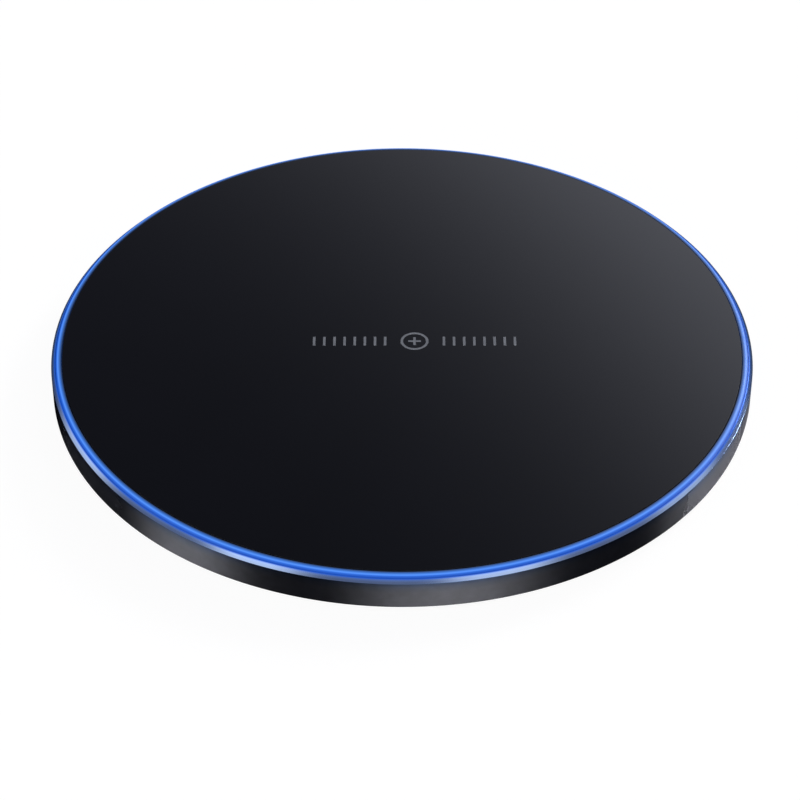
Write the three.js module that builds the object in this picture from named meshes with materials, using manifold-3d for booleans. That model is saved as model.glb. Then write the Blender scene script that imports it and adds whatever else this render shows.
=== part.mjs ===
// A slim round wireless charging pad: a black glass top, a lit ring let into an aluminium rim,
// and under the glass the coil, its ferrite shield and a ring-shaped circuit board.
// Millimetres, +Z up. The origin is in the middle of the surface that the pad stands on,
// and the supply socket is at the rear, towards +Y.

import * as THREE from 'three';
import { mergeVertices } from 'three/addons/utils/BufferGeometryUtils.js';
import Module from 'manifold-3d';

const wasm = await Module();
wasm.setup();

// ---------------------------------------------------------------- driving dimensions

// rim
const rimRadius = 50;
const rimWallHeight = 4.25; // from the lower edge to the foot of the polished chamfer
const rimWallThickness = 2.25;
const rimChamfer = 0.54; // polished, the same across and down
const rimLowerChamfer = 0.3;
const rimLand = 0.04; // flat left between the chamfer and the light ring

// light ring
const beadWidth = 0.94; // the part that shows between the glass and the rim
const beadRise = 0.45; // from the rim's top edge up to the glass's top face
const beadCrown = 0.12; // how far the exposed face bulges
const beadDip = 0.06; // the bead's inner edge lies this far under the glass's top face
const flangeThickness = 0.4; // the ledge under the glass
const skirtThickness = 1.2; // the wall that faces the lamps

// glass and its tape
const panelThickness = 0.8;
const panelEdgeRadius = 0.14;
const tapeThickness = 0.1;

// base, feet and screws
const footStandOff = 0.5; // how far the feet hold the base off the table
const footThickness = 1.0;
const footRadius = 4.0;
const footEdge = 0.25;
const footCount = 4;
const baseThickness = 1.1;
const baseInset = 1.4; // from the rim's wall in to the base's edge
const baseEdge = 0.5; // chamfer round the base's underside, where the base stands out this far
const spigotHeight = 0.8; // wall on the base that centres it in the rim
const spigotThickness = 1.6;
const bossRadius = 2.4; // round the screws, on the base and on the rim's lugs
const bossHeight = 0.85;
const restRadius = 1.5; // small pads that the board lies on
const restCount = 6;
const carrierRibRadius = 16;
const carrierRibWidth = 2;
const screwShankRadius = 0.8;
const screwHeadRadius = 1.4;
const screwHeadHeight = 0.45;
const screwLength = 2.0; // under the head
const screwSlotWidth = 0.32;
const screwSlotDepth = 0.25;

// circuit board
const boardThickness = 0.8;
const boardLift = 0.3; // board above the base's floor
const boardEdgeGap = 1.4; // from the lamps' side of the light ring in to the board's edge
const boardHoleGap = 0.9; // from the coil tray out to the board's hole
const partHeadroom = 0.3; // at least this much air over the board's tallest part

// chips and passives: length along the board's ring, width across it, height
const packages = {
  controller: [6, 6, 0.9],
  regulator: [5, 4, 1.5],
  bridge: [3.3, 3.3, 0.9],
  inductor: [4, 4, 1.9],
  resonant: [2.5, 3.2, 1.8],
  input: [1.6, 3.2, 1.6],
  sense: [3.2, 6.3, 0.6],
};

// supply socket, of the micro-B kind
const shellWidth = 7.5;
const shellHeight = 2.45;
const shellLength = 5.6;
const shellWall = 0.3;
const shellBevelWidth = 1.1; // the two lower corners are cut off
const shellBevelHeight = 0.75;
const shellRecess = 0.7; // how far the mouth lies inside the rim's wall
const shellSink = 0.875; // how far the shell hangs under the board's top face
const insertDepth = 1.5; // the plastic block that fills the shell's rear end
const tongueWidth = 3.8;
const tongueThickness = 0.6;
const tongueSetBack = 0.7; // from the mouth in to the tongue's tip
const slotCorner = 0.7; // round the rim's opening for the socket
const slotBridge = 0.185; // metal left over that opening

// coil, shield and tray
const coilRadius = 22;
const coilHoleRadius = 10.25;
const coilThickness = 1.1;
const coilHeadroom = 0.15; // air left under the glass
const shieldMargin = 3; // the shield stands out this far round the coil
const shieldThickness = 0.8;
const trayFloor = 0.8; // at least
const trayWall = 0.9;
const trayWallHeight = 0.6; // above the tray's floor
const leadSlotWidth = 3.8; // slot in the shield for the wires from the coil's middle
const leadRadius = 0.36;
const leadSpacing = 2.6; // between the coil's two leads
const leadReach = 3.2; // how far the leads run in over the board
const thermistorRadius = 0.42;
const thermistorLength = 2.4;
const wireRadius = 0.2;
const wireSpacing = 0.7;

// lamps
const ledCount = 6;
const ledWidth = 3.0;
const ledDepth = 1.0;
const ledHeight = 0.7;
const ledSetBack = 0.1; // from the board's edge

// ---------------------------------------------------------------- clearances

const seat = 0.02; // between faces that lie on each other
const slideFit = 0.05; // between round pieces that drop into each other
const looseFit = 0.15; // between round pieces that only pass each other
const cutFit = 0.3; // round a piece that passes through a notch
const portFit = 0.18; // round the socket in the rim
const screwFit = 0.1; // round the screws
const overrun = 1; // how far a cutter runs past what it cuts

// ---------------------------------------------------------------- facets

const ringSides = 96; // a multiple of 4, so that the outline reaches both axes
const smallRingSides = 48;
const roundSides = 20;
const footSides = 28;
const wireSides = 8;
const wireSteps = 14;
const wireTension = 0.15; // near 0, so that a wire runs straight between its bends
const beadSteps = 5;
const edgeSteps = 2;
const curveSides = 6;

// ---------------------------------------------------------------- levels and radii that follow

// The room between the base's floor and the glass is what the tallest of three stacks needs:
// the socket with the light ring's ledge over it, the board with its parts, or the coil.
const shellLift = boardLift + boardThickness - shellSink;
const ledgeStack = slotBridge + flangeThickness + tapeThickness + 3 * seat;
const socketStack = shellLift + shellHeight + portFit + ledgeStack;
const tallestPart = Math.max(...Object.values(packages).map((size) => size[2]));
const boardStack = boardLift + boardThickness + seat + tallestPart + partHeadroom;
const coilStack = boardLift + trayFloor + shieldThickness + coilThickness + coilHeadroom + 2 * seat;
const roomHeight = Math.max(socketStack, boardStack, coilStack);

const baseBottom = footStandOff;
const baseFloor = baseBottom + baseThickness;
const panelBottom = baseFloor + roomHeight;
const panelTop = panelBottom + panelThickness;
const rimTop = panelTop - beadRise;
const rimBottom = rimTop - rimChamfer - rimWallHeight;
const tapeTop = panelBottom - seat;
const tapeBottom = tapeTop - tapeThickness;
const flangeTop = tapeBottom - seat;
const flangeBottom = flangeTop - flangeThickness;
const ledgeTop = flangeBottom - seat;

const rimInnerRadius = rimRadius - rimWallThickness;
const pocketRadius = rimRadius - rimChamfer - rimLand;
const beadOuterRadius = pocketRadius - slideFit;
const beadInnerRadius = beadOuterRadius - beadWidth;
const panelRadius = beadInnerRadius - slideFit;
const skirtOuterRadius = rimInnerRadius - looseFit;
const skirtInnerRadius = skirtOuterRadius - skirtThickness;

const boardBottom = baseFloor + boardLift;
const boardTop = boardBottom + boardThickness;
const boardRadius = skirtInnerRadius - boardEdgeGap;
const shieldRadius = coilRadius + shieldMargin;
const trayRadius = shieldRadius + slideFit + trayWall;
const boardHoleRadius = trayRadius + boardHoleGap;
const boardMiddleRadius = (boardRadius + boardHoleRadius) / 2;

const coilTop = panelBottom - coilHeadroom;
const coilBottom = coilTop - coilThickness;
const shieldTop = coilBottom - seat;
const shieldBottom = shieldTop - shieldThickness;
const trayFloorTop = shieldBottom - seat;
const trayBottom = boardBottom;

const spigotRadius = rimInnerRadius - looseFit;
const baseRadius = rimRadius - baseInset;
const baseChamfer = Math.min(baseEdge, 0.6 * (rimBottom - baseBottom));
const bossTop = baseFloor + bossHeight;
const lugBottom = bossTop + seat;
const screwCircleRadius = spigotRadius - spigotThickness - cutFit - bossRadius;
const recessTop = footThickness + seat;
const headBottom = recessTop + looseFit;
const headTop = headBottom + screwHeadHeight;
const screwTip = headTop + screwLength;

const shellBottom = baseFloor + shellLift;
const shellTop = shellBottom + shellHeight;
const shellMiddle = (shellBottom + shellTop) / 2;
const shellFront = rimRadius - shellRecess;
const shellBack = shellFront - shellLength;

// ---------------------------------------------------------------- materials

function material(colour, roughness, metalness) {
  return new THREE.MeshStandardMaterial({ color: colour, roughness, metalness });
}

const glassBlack = () => material(0x15161a, 0.06, 0);
const tapeBlack = () => material(0x1c1c1e, 0.8, 0);
const litBlue = () => material(0x2a6fe0, 0.3, 0);
const anodisedBlack = () => material(0x232327, 0.35, 0.9);
const mouldedBlack = () => material(0x1a1a1c, 0.6, 0);
const siliconeBlack = () => material(0x222224, 0.85, 0);
const plainSteel = () => material(0xa8aaad, 0.35, 1);
const platedSteel = () => material(0xc9cbce, 0.25, 1);
const contactBlack = () => material(0x18181a, 0.5, 0);
const copper = () => material(0xb46a3c, 0.4, 1);
const ferrite = () => material(0x3a3c40, 0.7, 0.1);
const trayWhite = () => material(0xd8d8d4, 0.6, 0);
const epoxyBead = () => material(0x2c4a36, 0.4, 0);
const boardGreen = () => material(0x12502f, 0.45, 0);
const chipBlack = () => material(0x1b1b1d, 0.5, 0);
const ceramicTan = () => material(0xb89a72, 0.5, 0);
const inductorGrey = () => material(0x4b4d50, 0.6, 0.2);
const ledWhite = () => material(0xe8ecf4, 0.4, 0);

// ---------------------------------------------------------------- solid helpers

function weld(geometry) {
  const bare = geometry.clone();
  bare.deleteAttribute('normal');
  bare.deleteAttribute('uv');
  return mergeVertices(bare);
}

function toSolid(geometry) {
  const welded = weld(geometry);
  const index = welded.index.array;
  const kept = [];
  for (let i = 0; i < index.length; i += 3) {
    const [a, b, c] = index.slice(i, i + 3);
    if (a !== b && b !== c && c !== a) {
      kept.push(a, b, c);
    }
  }
  const mesh = new wasm.Mesh({
    numProp: 3,
    vertProperties: new Float32Array(welded.attributes.position.array),
    triVerts: new Uint32Array(kept),
  });
  return new wasm.Manifold(mesh);
}

function toGeometry(solid) {
  const mesh = solid.getMesh();
  const geometry = new THREE.BufferGeometry();
  geometry.setAttribute('position', new THREE.BufferAttribute(mesh.vertProperties, mesh.numProp));
  geometry.setIndex(new THREE.BufferAttribute(mesh.triVerts, 1));
  geometry.computeVertexNormals();
  return geometry;
}

function joined(first, ...others) {
  return others.reduce((solid, other) => solid.add(toSolid(other)), toSolid(first));
}

function cutFrom(solid, cutters) {
  return cutters.reduce((rest, cutter) => rest.subtract(toSolid(cutter)), solid);
}

// A body of revolution about Z. The outline runs anticlockwise in radius and height.
function turned(outline, sides) {
  const points = outline.map(([radius, height]) => new THREE.Vector2(radius, height));
  return new THREE.LatheGeometry(points, sides).rotateX(Math.PI / 2);
}

function flatRing(innerRadius, outerRadius, bottom, top, sides) {
  const outline = [
    [innerRadius, bottom],
    [outerRadius, bottom],
    [outerRadius, top],
    [innerRadius, top],
    [innerRadius, bottom],
  ];
  return turned(outline, sides);
}

function disc(radius, bottom, top, sides) {
  return turned([[0, bottom], [radius, bottom], [radius, top], [0, top]], sides);
}

function post(radius, bottom, top, x, y) {
  return disc(radius, bottom, top, roundSides).translate(x, y, 0);
}

// A box given by its two corners.
function block(low, high) {
  const size = high.map((value, axis) => value - low[axis]);
  const middle = high.map((value, axis) => (value + low[axis]) / 2);
  return new THREE.BoxGeometry(...size).translate(...middle);
}

// Points along a quarter circle about (radius, height), from one angle to the next.
function arcPoints(radius, height, size, from, to, steps) {
  const points = [];
  for (let i = 0; i <= steps; i += 1) {
    const angle = from + ((to - from) * i) / steps;
    points.push([radius + size * Math.cos(angle), height + size * Math.sin(angle)]);
  }
  return points;
}

function wire(points, radius) {
  const knots = points.map((point) => new THREE.Vector3(...point));
  const path = new THREE.CatmullRomCurve3(knots, false, 'catmullrom', wireTension);
  const section = new THREE.Shape();
  section.absarc(0, 0, radius, 0, 2 * Math.PI, false);
  const settings = { steps: wireSteps, curveSegments: wireSides / 2, extrudePath: path };
  return new THREE.ExtrudeGeometry(section, settings);
}

// An outline in X and Z, made solid along Y from one depth to another.
function alongY(shape, from, to) {
  const settings = { depth: to - from, bevelEnabled: false, curveSegments: curveSides };
  return new THREE.ExtrudeGeometry(shape, settings).rotateX(Math.PI / 2).translate(0, to, 0);
}

// An outline in X and Y, made solid from one level to another.
function upright(shape, bottom, top) {
  const settings = { depth: top - bottom, bevelEnabled: false, curveSegments: roundSides / 2 };
  return new THREE.ExtrudeGeometry(shape, settings).translate(0, 0, bottom);
}

// ---------------------------------------------------------------- places

function cornerAngle(number) {
  return ((number + 0.5) * 2 * Math.PI) / footCount;
}

function onCircle(radius, angle) {
  return [radius * Math.cos(angle), radius * Math.sin(angle)];
}

function atEachFoot(make) {
  return Array.from({ length: footCount }, (_, number) => {
    const [x, y] = onCircle(screwCircleRadius, cornerAngle(number));
    return make(x, y, number);
  });
}

// A lug's outline: a round nose about the screw, and straight sides out to a radius.
function lugOutline(growth, outerRadius) {
  const width = bossRadius + growth;
  const outline = new THREE.Shape();
  outline.moveTo(outerRadius, -width);
  outline.lineTo(outerRadius, width);
  outline.lineTo(screwCircleRadius, width);
  outline.absarc(screwCircleRadius, 0, width, Math.PI / 2, (3 * Math.PI) / 2, false);
  return outline;
}

function lugs(growth, outerRadius, bottom, top) {
  return Array.from({ length: footCount }, (_, number) =>
    upright(lugOutline(growth, outerRadius), bottom, top).rotateZ(cornerAngle(number)),
  );
}

// The room that the socket needs, widened by a clearance.
function socketRoom(growth, bottom, top) {
  const half = shellWidth / 2 + growth;
  return block([-half, shellBack - growth, bottom], [half, rimRadius + overrun, top]);
}

// ---------------------------------------------------------------- glass, tape and light ring

function topPanel() {
  const corner = panelRadius - panelEdgeRadius;
  const lower = arcPoints(corner, panelBottom + panelEdgeRadius, panelEdgeRadius, -Math.PI / 2, 0, edgeSteps);
  const upper = arcPoints(corner, panelTop - panelEdgeRadius, panelEdgeRadius, 0, Math.PI / 2, edgeSteps);
  return turned([[0, panelBottom], ...lower, ...upper, [0, panelTop]], ringSides);
}

function panelTape() {
  const inner = skirtInnerRadius + looseFit;
  const outer = panelRadius - looseFit;
  return flatRing(inner, outer, tapeBottom, tapeTop, ringSides);
}

function beadPoints() {
  const start = new THREE.Vector2(beadOuterRadius, rimTop);
  const end = new THREE.Vector2(beadInnerRadius, panelTop - beadDip);
  const middle = start.clone().add(end).multiplyScalar(0.5);
  const outward = new THREE.Vector2(end.y - start.y, start.x - end.x).normalize();
  const control = middle.addScaledVector(outward, 2 * beadCrown);
  const curve = new THREE.QuadraticBezierCurve(start, control, end);
  return curve.getPoints(beadSteps).map((point) => [point.x, point.y]);
}

function lightGuideRing() {
  const skirtBottom = boardTop + slideFit;
  const ring = turned(
    [
      [skirtInnerRadius, skirtBottom],
      [skirtOuterRadius, skirtBottom],
      [skirtOuterRadius, flangeBottom],
      [beadOuterRadius, flangeBottom],
      ...beadPoints(),
      [beadInnerRadius, flangeTop],
      [skirtInnerRadius, flangeTop],
      [skirtInnerRadius, skirtBottom],
    ],
    ringSides,
  );
  const lugGaps = lugs(cutFit, rimRadius, skirtBottom - overrun, flangeBottom);
  const socketGap = socketRoom(cutFit, skirtBottom - overrun, flangeBottom);
  return toGeometry(cutFrom(toSolid(ring), [...lugGaps, socketGap]));
}

// ---------------------------------------------------------------- rim

function socketSlot() {
  const halfWidth = shellWidth / 2 + portFit + slotCorner / 3;
  const halfHeight = shellHeight / 2 + portFit;
  const slot = new THREE.Shape();
  slot.absarc(halfWidth - slotCorner, halfHeight - slotCorner, slotCorner, 0, Math.PI / 2, false);
  slot.absarc(slotCorner - halfWidth, halfHeight - slotCorner, slotCorner, Math.PI / 2, Math.PI, false);
  slot.absarc(slotCorner - halfWidth, slotCorner - halfHeight, slotCorner, Math.PI, 1.5 * Math.PI, false);
  slot.absarc(halfWidth - slotCorner, slotCorner - halfHeight, slotCorner, 1.5 * Math.PI, 2 * Math.PI, false);
  return alongY(slot, shellBack, rimRadius + overrun).translate(0, 0, shellMiddle);
}

function rimFrame() {
  const wall = turned(
    [
      [rimInnerRadius, rimBottom],
      [rimRadius - rimLowerChamfer, rimBottom],
      [rimRadius, rimBottom + rimLowerChamfer],
      [rimRadius, rimTop - rimChamfer],
      [rimRadius - rimChamfer, rimTop],
      [pocketRadius, rimTop],
      [pocketRadius, ledgeTop],
      [rimInnerRadius, ledgeTop],
      [rimInnerRadius, rimBottom],
    ],
    ringSides,
  );
  const lugRoot = rimInnerRadius + rimWallThickness / 4;
  const body = joined(wall, ...lugs(0, lugRoot, lugBottom, ledgeTop));
  const holes = atEachFoot((x, y) =>
    post(screwShankRadius + screwFit, lugBottom - overrun, screwTip + screwFit, x, y),
  );
  return toGeometry(cutFrom(body, [...holes, socketSlot()]));
}

// ---------------------------------------------------------------- base, feet and screws

function boardRests() {
  return Array.from({ length: restCount }, (_, number) => {
    const [x, y] = onCircle(boardMiddleRadius, ((number + 0.5) * 2 * Math.PI) / restCount);
    return post(restRadius, baseFloor - slideFit, boardBottom - seat, x, y);
  });
}

function baseCover() {
  const plate = turned(
    [
      [0, baseBottom],
      [baseRadius - baseChamfer, baseBottom],
      [baseRadius, baseBottom + baseChamfer],
      [baseRadius, rimBottom - seat],
      [spigotRadius, rimBottom - seat],
      [spigotRadius, baseFloor + spigotHeight],
      [spigotRadius - spigotThickness, baseFloor + spigotHeight],
      [spigotRadius - spigotThickness, baseFloor],
      [0, baseFloor],
    ],
    ringSides,
  );
  const bosses = atEachFoot((x, y) => post(bossRadius, baseFloor - slideFit, bossTop, x, y));
  const ribInner = carrierRibRadius - carrierRibWidth;
  const rib = flatRing(ribInner, carrierRibRadius, baseFloor - slideFit, trayBottom - seat, smallRingSides);
  const body = joined(plate, ...bosses, ...boardRests(), rib);
  const recesses = atEachFoot((x, y) => post(footRadius + looseFit, -overrun, recessTop, x, y));
  const headRooms = atEachFoot((x, y) => post(screwHeadRadius + looseFit, -overrun, headTop + seat, x, y));
  const holes = atEachFoot((x, y) => post(screwShankRadius + screwFit, -overrun, bossTop + overrun, x, y));
  const socketGap = socketRoom(cutFit, baseFloor, rimTop);
  return toGeometry(cutFrom(body, [...recesses, ...headRooms, ...holes, socketGap]));
}

function footPad(x, y) {
  const corner = footRadius - footEdge;
  const edge = arcPoints(corner, footEdge, footEdge, -Math.PI / 2, 0, edgeSteps);
  const outline = [[0, 0], ...edge, [footRadius, footThickness], [0, footThickness]];
  return turned(outline, footSides).translate(x, y, 0);
}

function baseScrew(x, y) {
  const shape = turned(
    [
      [0, headBottom],
      [screwHeadRadius, headBottom],
      [screwHeadRadius, headTop],
      [screwShankRadius, headTop],
      [screwShankRadius, screwTip - screwShankRadius / 2],
      [screwShankRadius / 2, screwTip],
      [0, screwTip],
    ],
    roundSides,
  );
  const half = screwSlotWidth / 2;
  const reach = screwHeadRadius - screwSlotWidth;
  const slotTop = headBottom + screwSlotDepth;
  const slotAcross = block([-reach, -half, headBottom - overrun], [reach, half, slotTop]);
  const slotAlong = block([-half, -reach, headBottom - overrun], [half, reach, slotTop]);
  return toGeometry(cutFrom(toSolid(shape), [slotAcross, slotAlong])).translate(x, y, 0);
}

// ---------------------------------------------------------------- coil, shield and tray

function coilWinding() {
  return flatRing(coilHoleRadius, coilRadius, coilBottom, coilTop, smallRingSides);
}

function ferriteShield() {
  const sheet = disc(shieldRadius, shieldBottom, shieldTop, smallRingSides);
  const half = leadSlotWidth / 2;
  const slotEnd = thermistorLength - coilHoleRadius;
  const slotLow = [-half, -shieldRadius - overrun, shieldBottom - overrun];
  const slot = block(slotLow, [half, slotEnd, shieldTop + overrun]);
  return toGeometry(cutFrom(toSolid(sheet), [slot]));
}

function coilCarrier() {
  const tray = turned(
    [
      [0, trayBottom],
      [trayRadius, trayBottom],
      [trayRadius, trayFloorTop + trayWallHeight],
      [trayRadius - trayWall, trayFloorTop + trayWallHeight],
      [trayRadius - trayWall, trayFloorTop],
      [0, trayFloorTop],
    ],
    smallRingSides,
  );
  const half = leadSpacing + 3 * leadRadius;
  const gap = block([-half, -trayRadius - overrun, trayFloorTop], [half, 0, coilTop]);
  return toGeometry(cutFrom(toSolid(tray), [gap]));
}

// From the coil's middle, down into the shield's slot, out under the coil and onto the board.
function innerLead() {
  const x = leadSpacing / 2;
  const slotHeight = (shieldTop + shieldBottom) / 2;
  const landing = boardTop + leadRadius + slideFit;
  const points = [
    [x, 4 * leadRadius - coilHoleRadius, (coilTop + coilBottom) / 2],
    [x, 3 * leadRadius - coilHoleRadius, shieldTop],
    [x, -coilHoleRadius, slotHeight],
    [x, -coilRadius, slotHeight],
    [x, -trayRadius, slotHeight],
    [x, -boardHoleRadius - leadReach, landing],
  ];
  return wire(points, leadRadius);
}

// From the coil's outer edge, over the shield and down onto the board.
function outerLead() {
  const x = leadSpacing;
  const overShield = shieldTop + leadRadius + looseFit;
  const landing = boardTop + leadRadius + slideFit;
  const points = [
    [x, -coilRadius - leadRadius, overShield],
    [x, -shieldRadius, overShield],
    [x, -trayRadius, overShield],
    [x, -boardHoleRadius - leadReach, landing],
  ];
  return wire(points, leadRadius);
}

// A bead on the shield in the middle of the coil, with its two wires out to the board.
function thermistor() {
  const beadHeight = shieldTop + thermistorRadius + slideFit;
  const beadMiddle = thermistorLength - coilHoleRadius;
  const beadStraight = thermistorLength - 2 * thermistorRadius;
  const bead = new THREE.CapsuleGeometry(thermistorRadius, beadStraight, edgeSteps, wireSides);
  bead.translate(-leadSpacing / 2, beadMiddle, beadHeight);
  const slotHeight = (shieldTop + shieldBottom) / 2;
  const wires = [0, 1].map((side) => {
    const x = -leadSpacing / 2 - wireSpacing / 2 + side * wireSpacing;
    const points = [
      [-leadSpacing / 2, beadMiddle - thermistorLength / 3, beadHeight],
      [x, -coilHoleRadius, slotHeight],
      [x, -coilRadius, slotHeight],
      [x, -trayRadius, slotHeight],
      [x, -boardHoleRadius - leadReach, boardTop + wireRadius + slideFit],
    ];
    return wire(points, wireRadius);
  });
  return toGeometry(joined(bead, ...wires));
}

// ---------------------------------------------------------------- circuit board and socket

function mainBoard() {
  const ring = flatRing(boardHoleRadius, boardRadius, boardBottom, boardTop, ringSides);
  const lugGaps = lugs(cutFit, rimRadius, boardBottom - overrun, boardTop + overrun);
  const socketGap = socketRoom(cutFit, boardBottom - overrun, boardTop + overrun);
  return toGeometry(cutFrom(toSolid(ring), [...lugGaps, socketGap]));
}

// The socket's D outline: a flat top and two cut-off lower corners, drawn in by a margin.
function shellOutline(Outline, margin) {
  const side = shellWidth / 2 - margin;
  const height = shellHeight / 2 - margin;
  const foot = shellWidth / 2 - shellBevelWidth - margin / 2;
  const bevel = shellBevelHeight - shellHeight / 2 + margin / 2;
  const outline = new Outline();
  outline.moveTo(-side, height);
  outline.lineTo(-side, bevel);
  outline.lineTo(-foot, -height);
  outline.lineTo(foot, -height);
  outline.lineTo(side, bevel);
  outline.lineTo(side, height);
  outline.closePath();
  return outline;
}

function usbShell() {
  const outline = shellOutline(THREE.Shape, 0);
  outline.holes.push(shellOutline(THREE.Path, shellWall));
  return alongY(outline, shellBack, shellFront).translate(0, 0, shellMiddle);
}

function usbInsert() {
  const rear = alongY(shellOutline(THREE.Shape, shellWall + slideFit), shellBack, shellBack + insertDepth);
  const half = tongueWidth / 2;
  const tongue = block(
    [-half, shellBack + insertDepth / 2, -tongueThickness / 2],
    [half, shellFront - tongueSetBack, tongueThickness / 2],
  );
  return toGeometry(joined(rear, tongue)).translate(0, 0, shellMiddle);
}

// A box lying on the board, its length along the board's ring.
function onBoard(radius, degrees, [length, width, height]) {
  const bottom = boardTop + seat;
  const box = new THREE.BoxGeometry(width, length, height).translate(radius, 0, bottom + height / 2);
  return box.rotateZ(THREE.MathUtils.degToRad(degrees));
}

function led(number) {
  const radius = boardRadius - ledSetBack - ledDepth / 2;
  return onBoard(radius, (number * 360) / ledCount, [ledWidth, ledDepth, ledHeight]);
}

// Where the chips and passives sit round the ring, in degrees from +X. The socket is at 90 degrees.
const boardParts = [
  ['buck_inductor', 'inductor', 62, inductorGrey],
  ['input_regulator', 'regulator', 76, chipBlack],
  ['input_capacitor_1', 'input', 104, ceramicTan],
  ['input_capacitor_2', 'input', 112, ceramicTan],
  ['controller_chip', 'controller', 152, chipBlack],
  ['sense_resistor', 'sense', 168, chipBlack],
  ['power_bridge_1', 'bridge', 184, chipBlack],
  ['power_bridge_2', 'bridge', 196, chipBlack],
  ['resonant_capacitor_1', 'resonant', 238, ceramicTan],
  ['resonant_capacitor_2', 'resonant', 246, ceramicTan],
  ['resonant_capacitor_3', 'resonant', 254, ceramicTan],
  ['resonant_capacitor_4', 'resonant', 262, ceramicTan],
];

// ---------------------------------------------------------------- assembly

const pad = new THREE.Group();
pad.name = 'wireless_charging_pad';

function addPiece(name, geometry, finish) {
  const mesh = new THREE.Mesh(geometry, finish);
  mesh.name = name;
  pad.add(mesh);
}

addPiece('top_panel', topPanel(), glassBlack());
addPiece('panel_adhesive', panelTape(), tapeBlack());
addPiece('light_guide_ring', lightGuideRing(), litBlue());
addPiece('rim_frame', rimFrame(), anodisedBlack());
addPiece('base_cover', baseCover(), mouldedBlack());
atEachFoot((x, y, number) => {
  addPiece(`foot_pad_${number + 1}`, footPad(x, y), siliconeBlack());
  addPiece(`base_screw_${number + 1}`, baseScrew(x, y), plainSteel());
});
addPiece('coil_carrier', coilCarrier(), trayWhite());
addPiece('ferrite_shield', ferriteShield(), ferrite());
addPiece('coil_winding', coilWinding(), copper());
addPiece('coil_lead_inner', innerLead(), copper());
addPiece('coil_lead_outer', outerLead(), copper());
addPiece('thermistor', thermistor(), epoxyBead());
addPiece('main_board', mainBoard(), boardGreen());
addPiece('usb_shell', usbShell(), platedSteel());
addPiece('usb_insert', usbInsert(), contactBlack());
for (let number = 0; number < ledCount; number += 1) {
  addPiece(`led_${number + 1}`, led(number), ledWhite());
}
for (const [name, type, degrees, finish] of boardParts) {
  addPiece(name, onBoard(boardMiddleRadius, degrees, packages[type]), finish());
}

export default pad;
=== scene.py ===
"""A slim round wireless charging pad, dressed for show around its fixed CAD frame.

Metres, +Z up. The origin is in the middle of the surface that the pad stands on, and the
supply socket faces +Y. Sizes in the classes below are millimetres, and levels and radii come
from the CAD nodes' boxes.
"""

from __future__ import annotations

import logging
import math
from collections.abc import Iterable
from dataclasses import dataclass
from enum import Enum

import bmesh
import bpy
from mathutils import Matrix, Vector


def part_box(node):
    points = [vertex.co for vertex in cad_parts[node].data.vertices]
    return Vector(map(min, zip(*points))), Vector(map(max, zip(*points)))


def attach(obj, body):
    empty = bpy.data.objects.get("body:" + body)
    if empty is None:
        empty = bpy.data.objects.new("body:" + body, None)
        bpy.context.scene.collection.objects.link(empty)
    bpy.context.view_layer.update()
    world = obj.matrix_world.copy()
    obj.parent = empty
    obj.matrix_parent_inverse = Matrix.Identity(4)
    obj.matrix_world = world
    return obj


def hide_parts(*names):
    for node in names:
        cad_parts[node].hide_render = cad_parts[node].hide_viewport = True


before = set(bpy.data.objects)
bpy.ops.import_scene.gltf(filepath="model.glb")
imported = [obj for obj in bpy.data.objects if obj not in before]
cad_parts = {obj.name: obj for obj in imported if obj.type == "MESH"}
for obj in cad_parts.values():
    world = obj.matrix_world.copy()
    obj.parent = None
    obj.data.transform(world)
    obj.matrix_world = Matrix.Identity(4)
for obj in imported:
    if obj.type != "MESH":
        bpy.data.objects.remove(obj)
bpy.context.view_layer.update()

LOG = logging.getLogger("pad")
MM = 0.001
FULL_TURN = 2 * math.pi
RING_SIDES = 288
CORNERS = 4
# Points nearer to each other than this are one point, in mm.
WELD = 1e-4
# How far a cutting shape reaches past the piece that it cuts, in mm.
OVERRUN = 1.0

Point = tuple[float, float, float]
Outline = list[tuple[float, float]]
Stops = Iterable[tuple[float, str]]
Form = bmesh.types.BMesh
Tree = bpy.types.NodeTree
Feed = bpy.types.NodeSocket


# ---------------------------------------------------------------- nodes and colours


def linear(code: str) -> tuple[float, float, float, float]:
    """Turns an sRGB hex colour linear.

    Args:
        code: six hex digits, such as "1A2B3C".

    Returns:
        Red, green, blue and an alpha of 1.
    """
    parts = [int(code[i : i + 2], 16) / 255 for i in (0, 2, 4)]
    return (*[c / 12.92 if c <= 0.04045 else ((c + 0.055) / 1.055) ** 2.4 for c in parts], 1.0)


def add_node(
    tree: Tree, kind: str, settings: dict | None = None, inputs: dict | None = None
) -> bpy.types.Node:
    """Adds a node with its settings and its sockets' values or links.

    Args:
        tree: the node tree.
        kind: the node's type, without its "ShaderNode" prefix.
        settings: attribute name to value. For a colour ramp, "stops" is its colours.
        inputs: socket name or number to a value, or to the socket that feeds it.

    Returns:
        The new node.
    """
    node = tree.nodes.new("ShaderNode" + kind)
    for key, value in (settings or {}).items():
        if key == "stops":
            lay_stops(node.color_ramp.elements, value)
        else:
            setattr(node, key, value)
    for key, value in (inputs or {}).items():
        if isinstance(value, Feed):
            tree.links.new(value, node.inputs[key])
        else:
            node.inputs[key].default_value = value
    return node


def lay_stops(elements: bpy.types.ColorRampElements, stops: Stops) -> None:
    """Sets the colours of a ramp.

    Args:
        elements: the ramp's own list of colours, which is emptied first.
        stops: places from 0 to 1 and their hex colours.
    """
    while len(elements) > 1:
        elements.remove(elements[-1])
    for number, (place, code) in enumerate(stops):
        element = elements[0] if number == 0 else elements.new(place)
        element.position = place
        element.color = linear(code)


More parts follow.
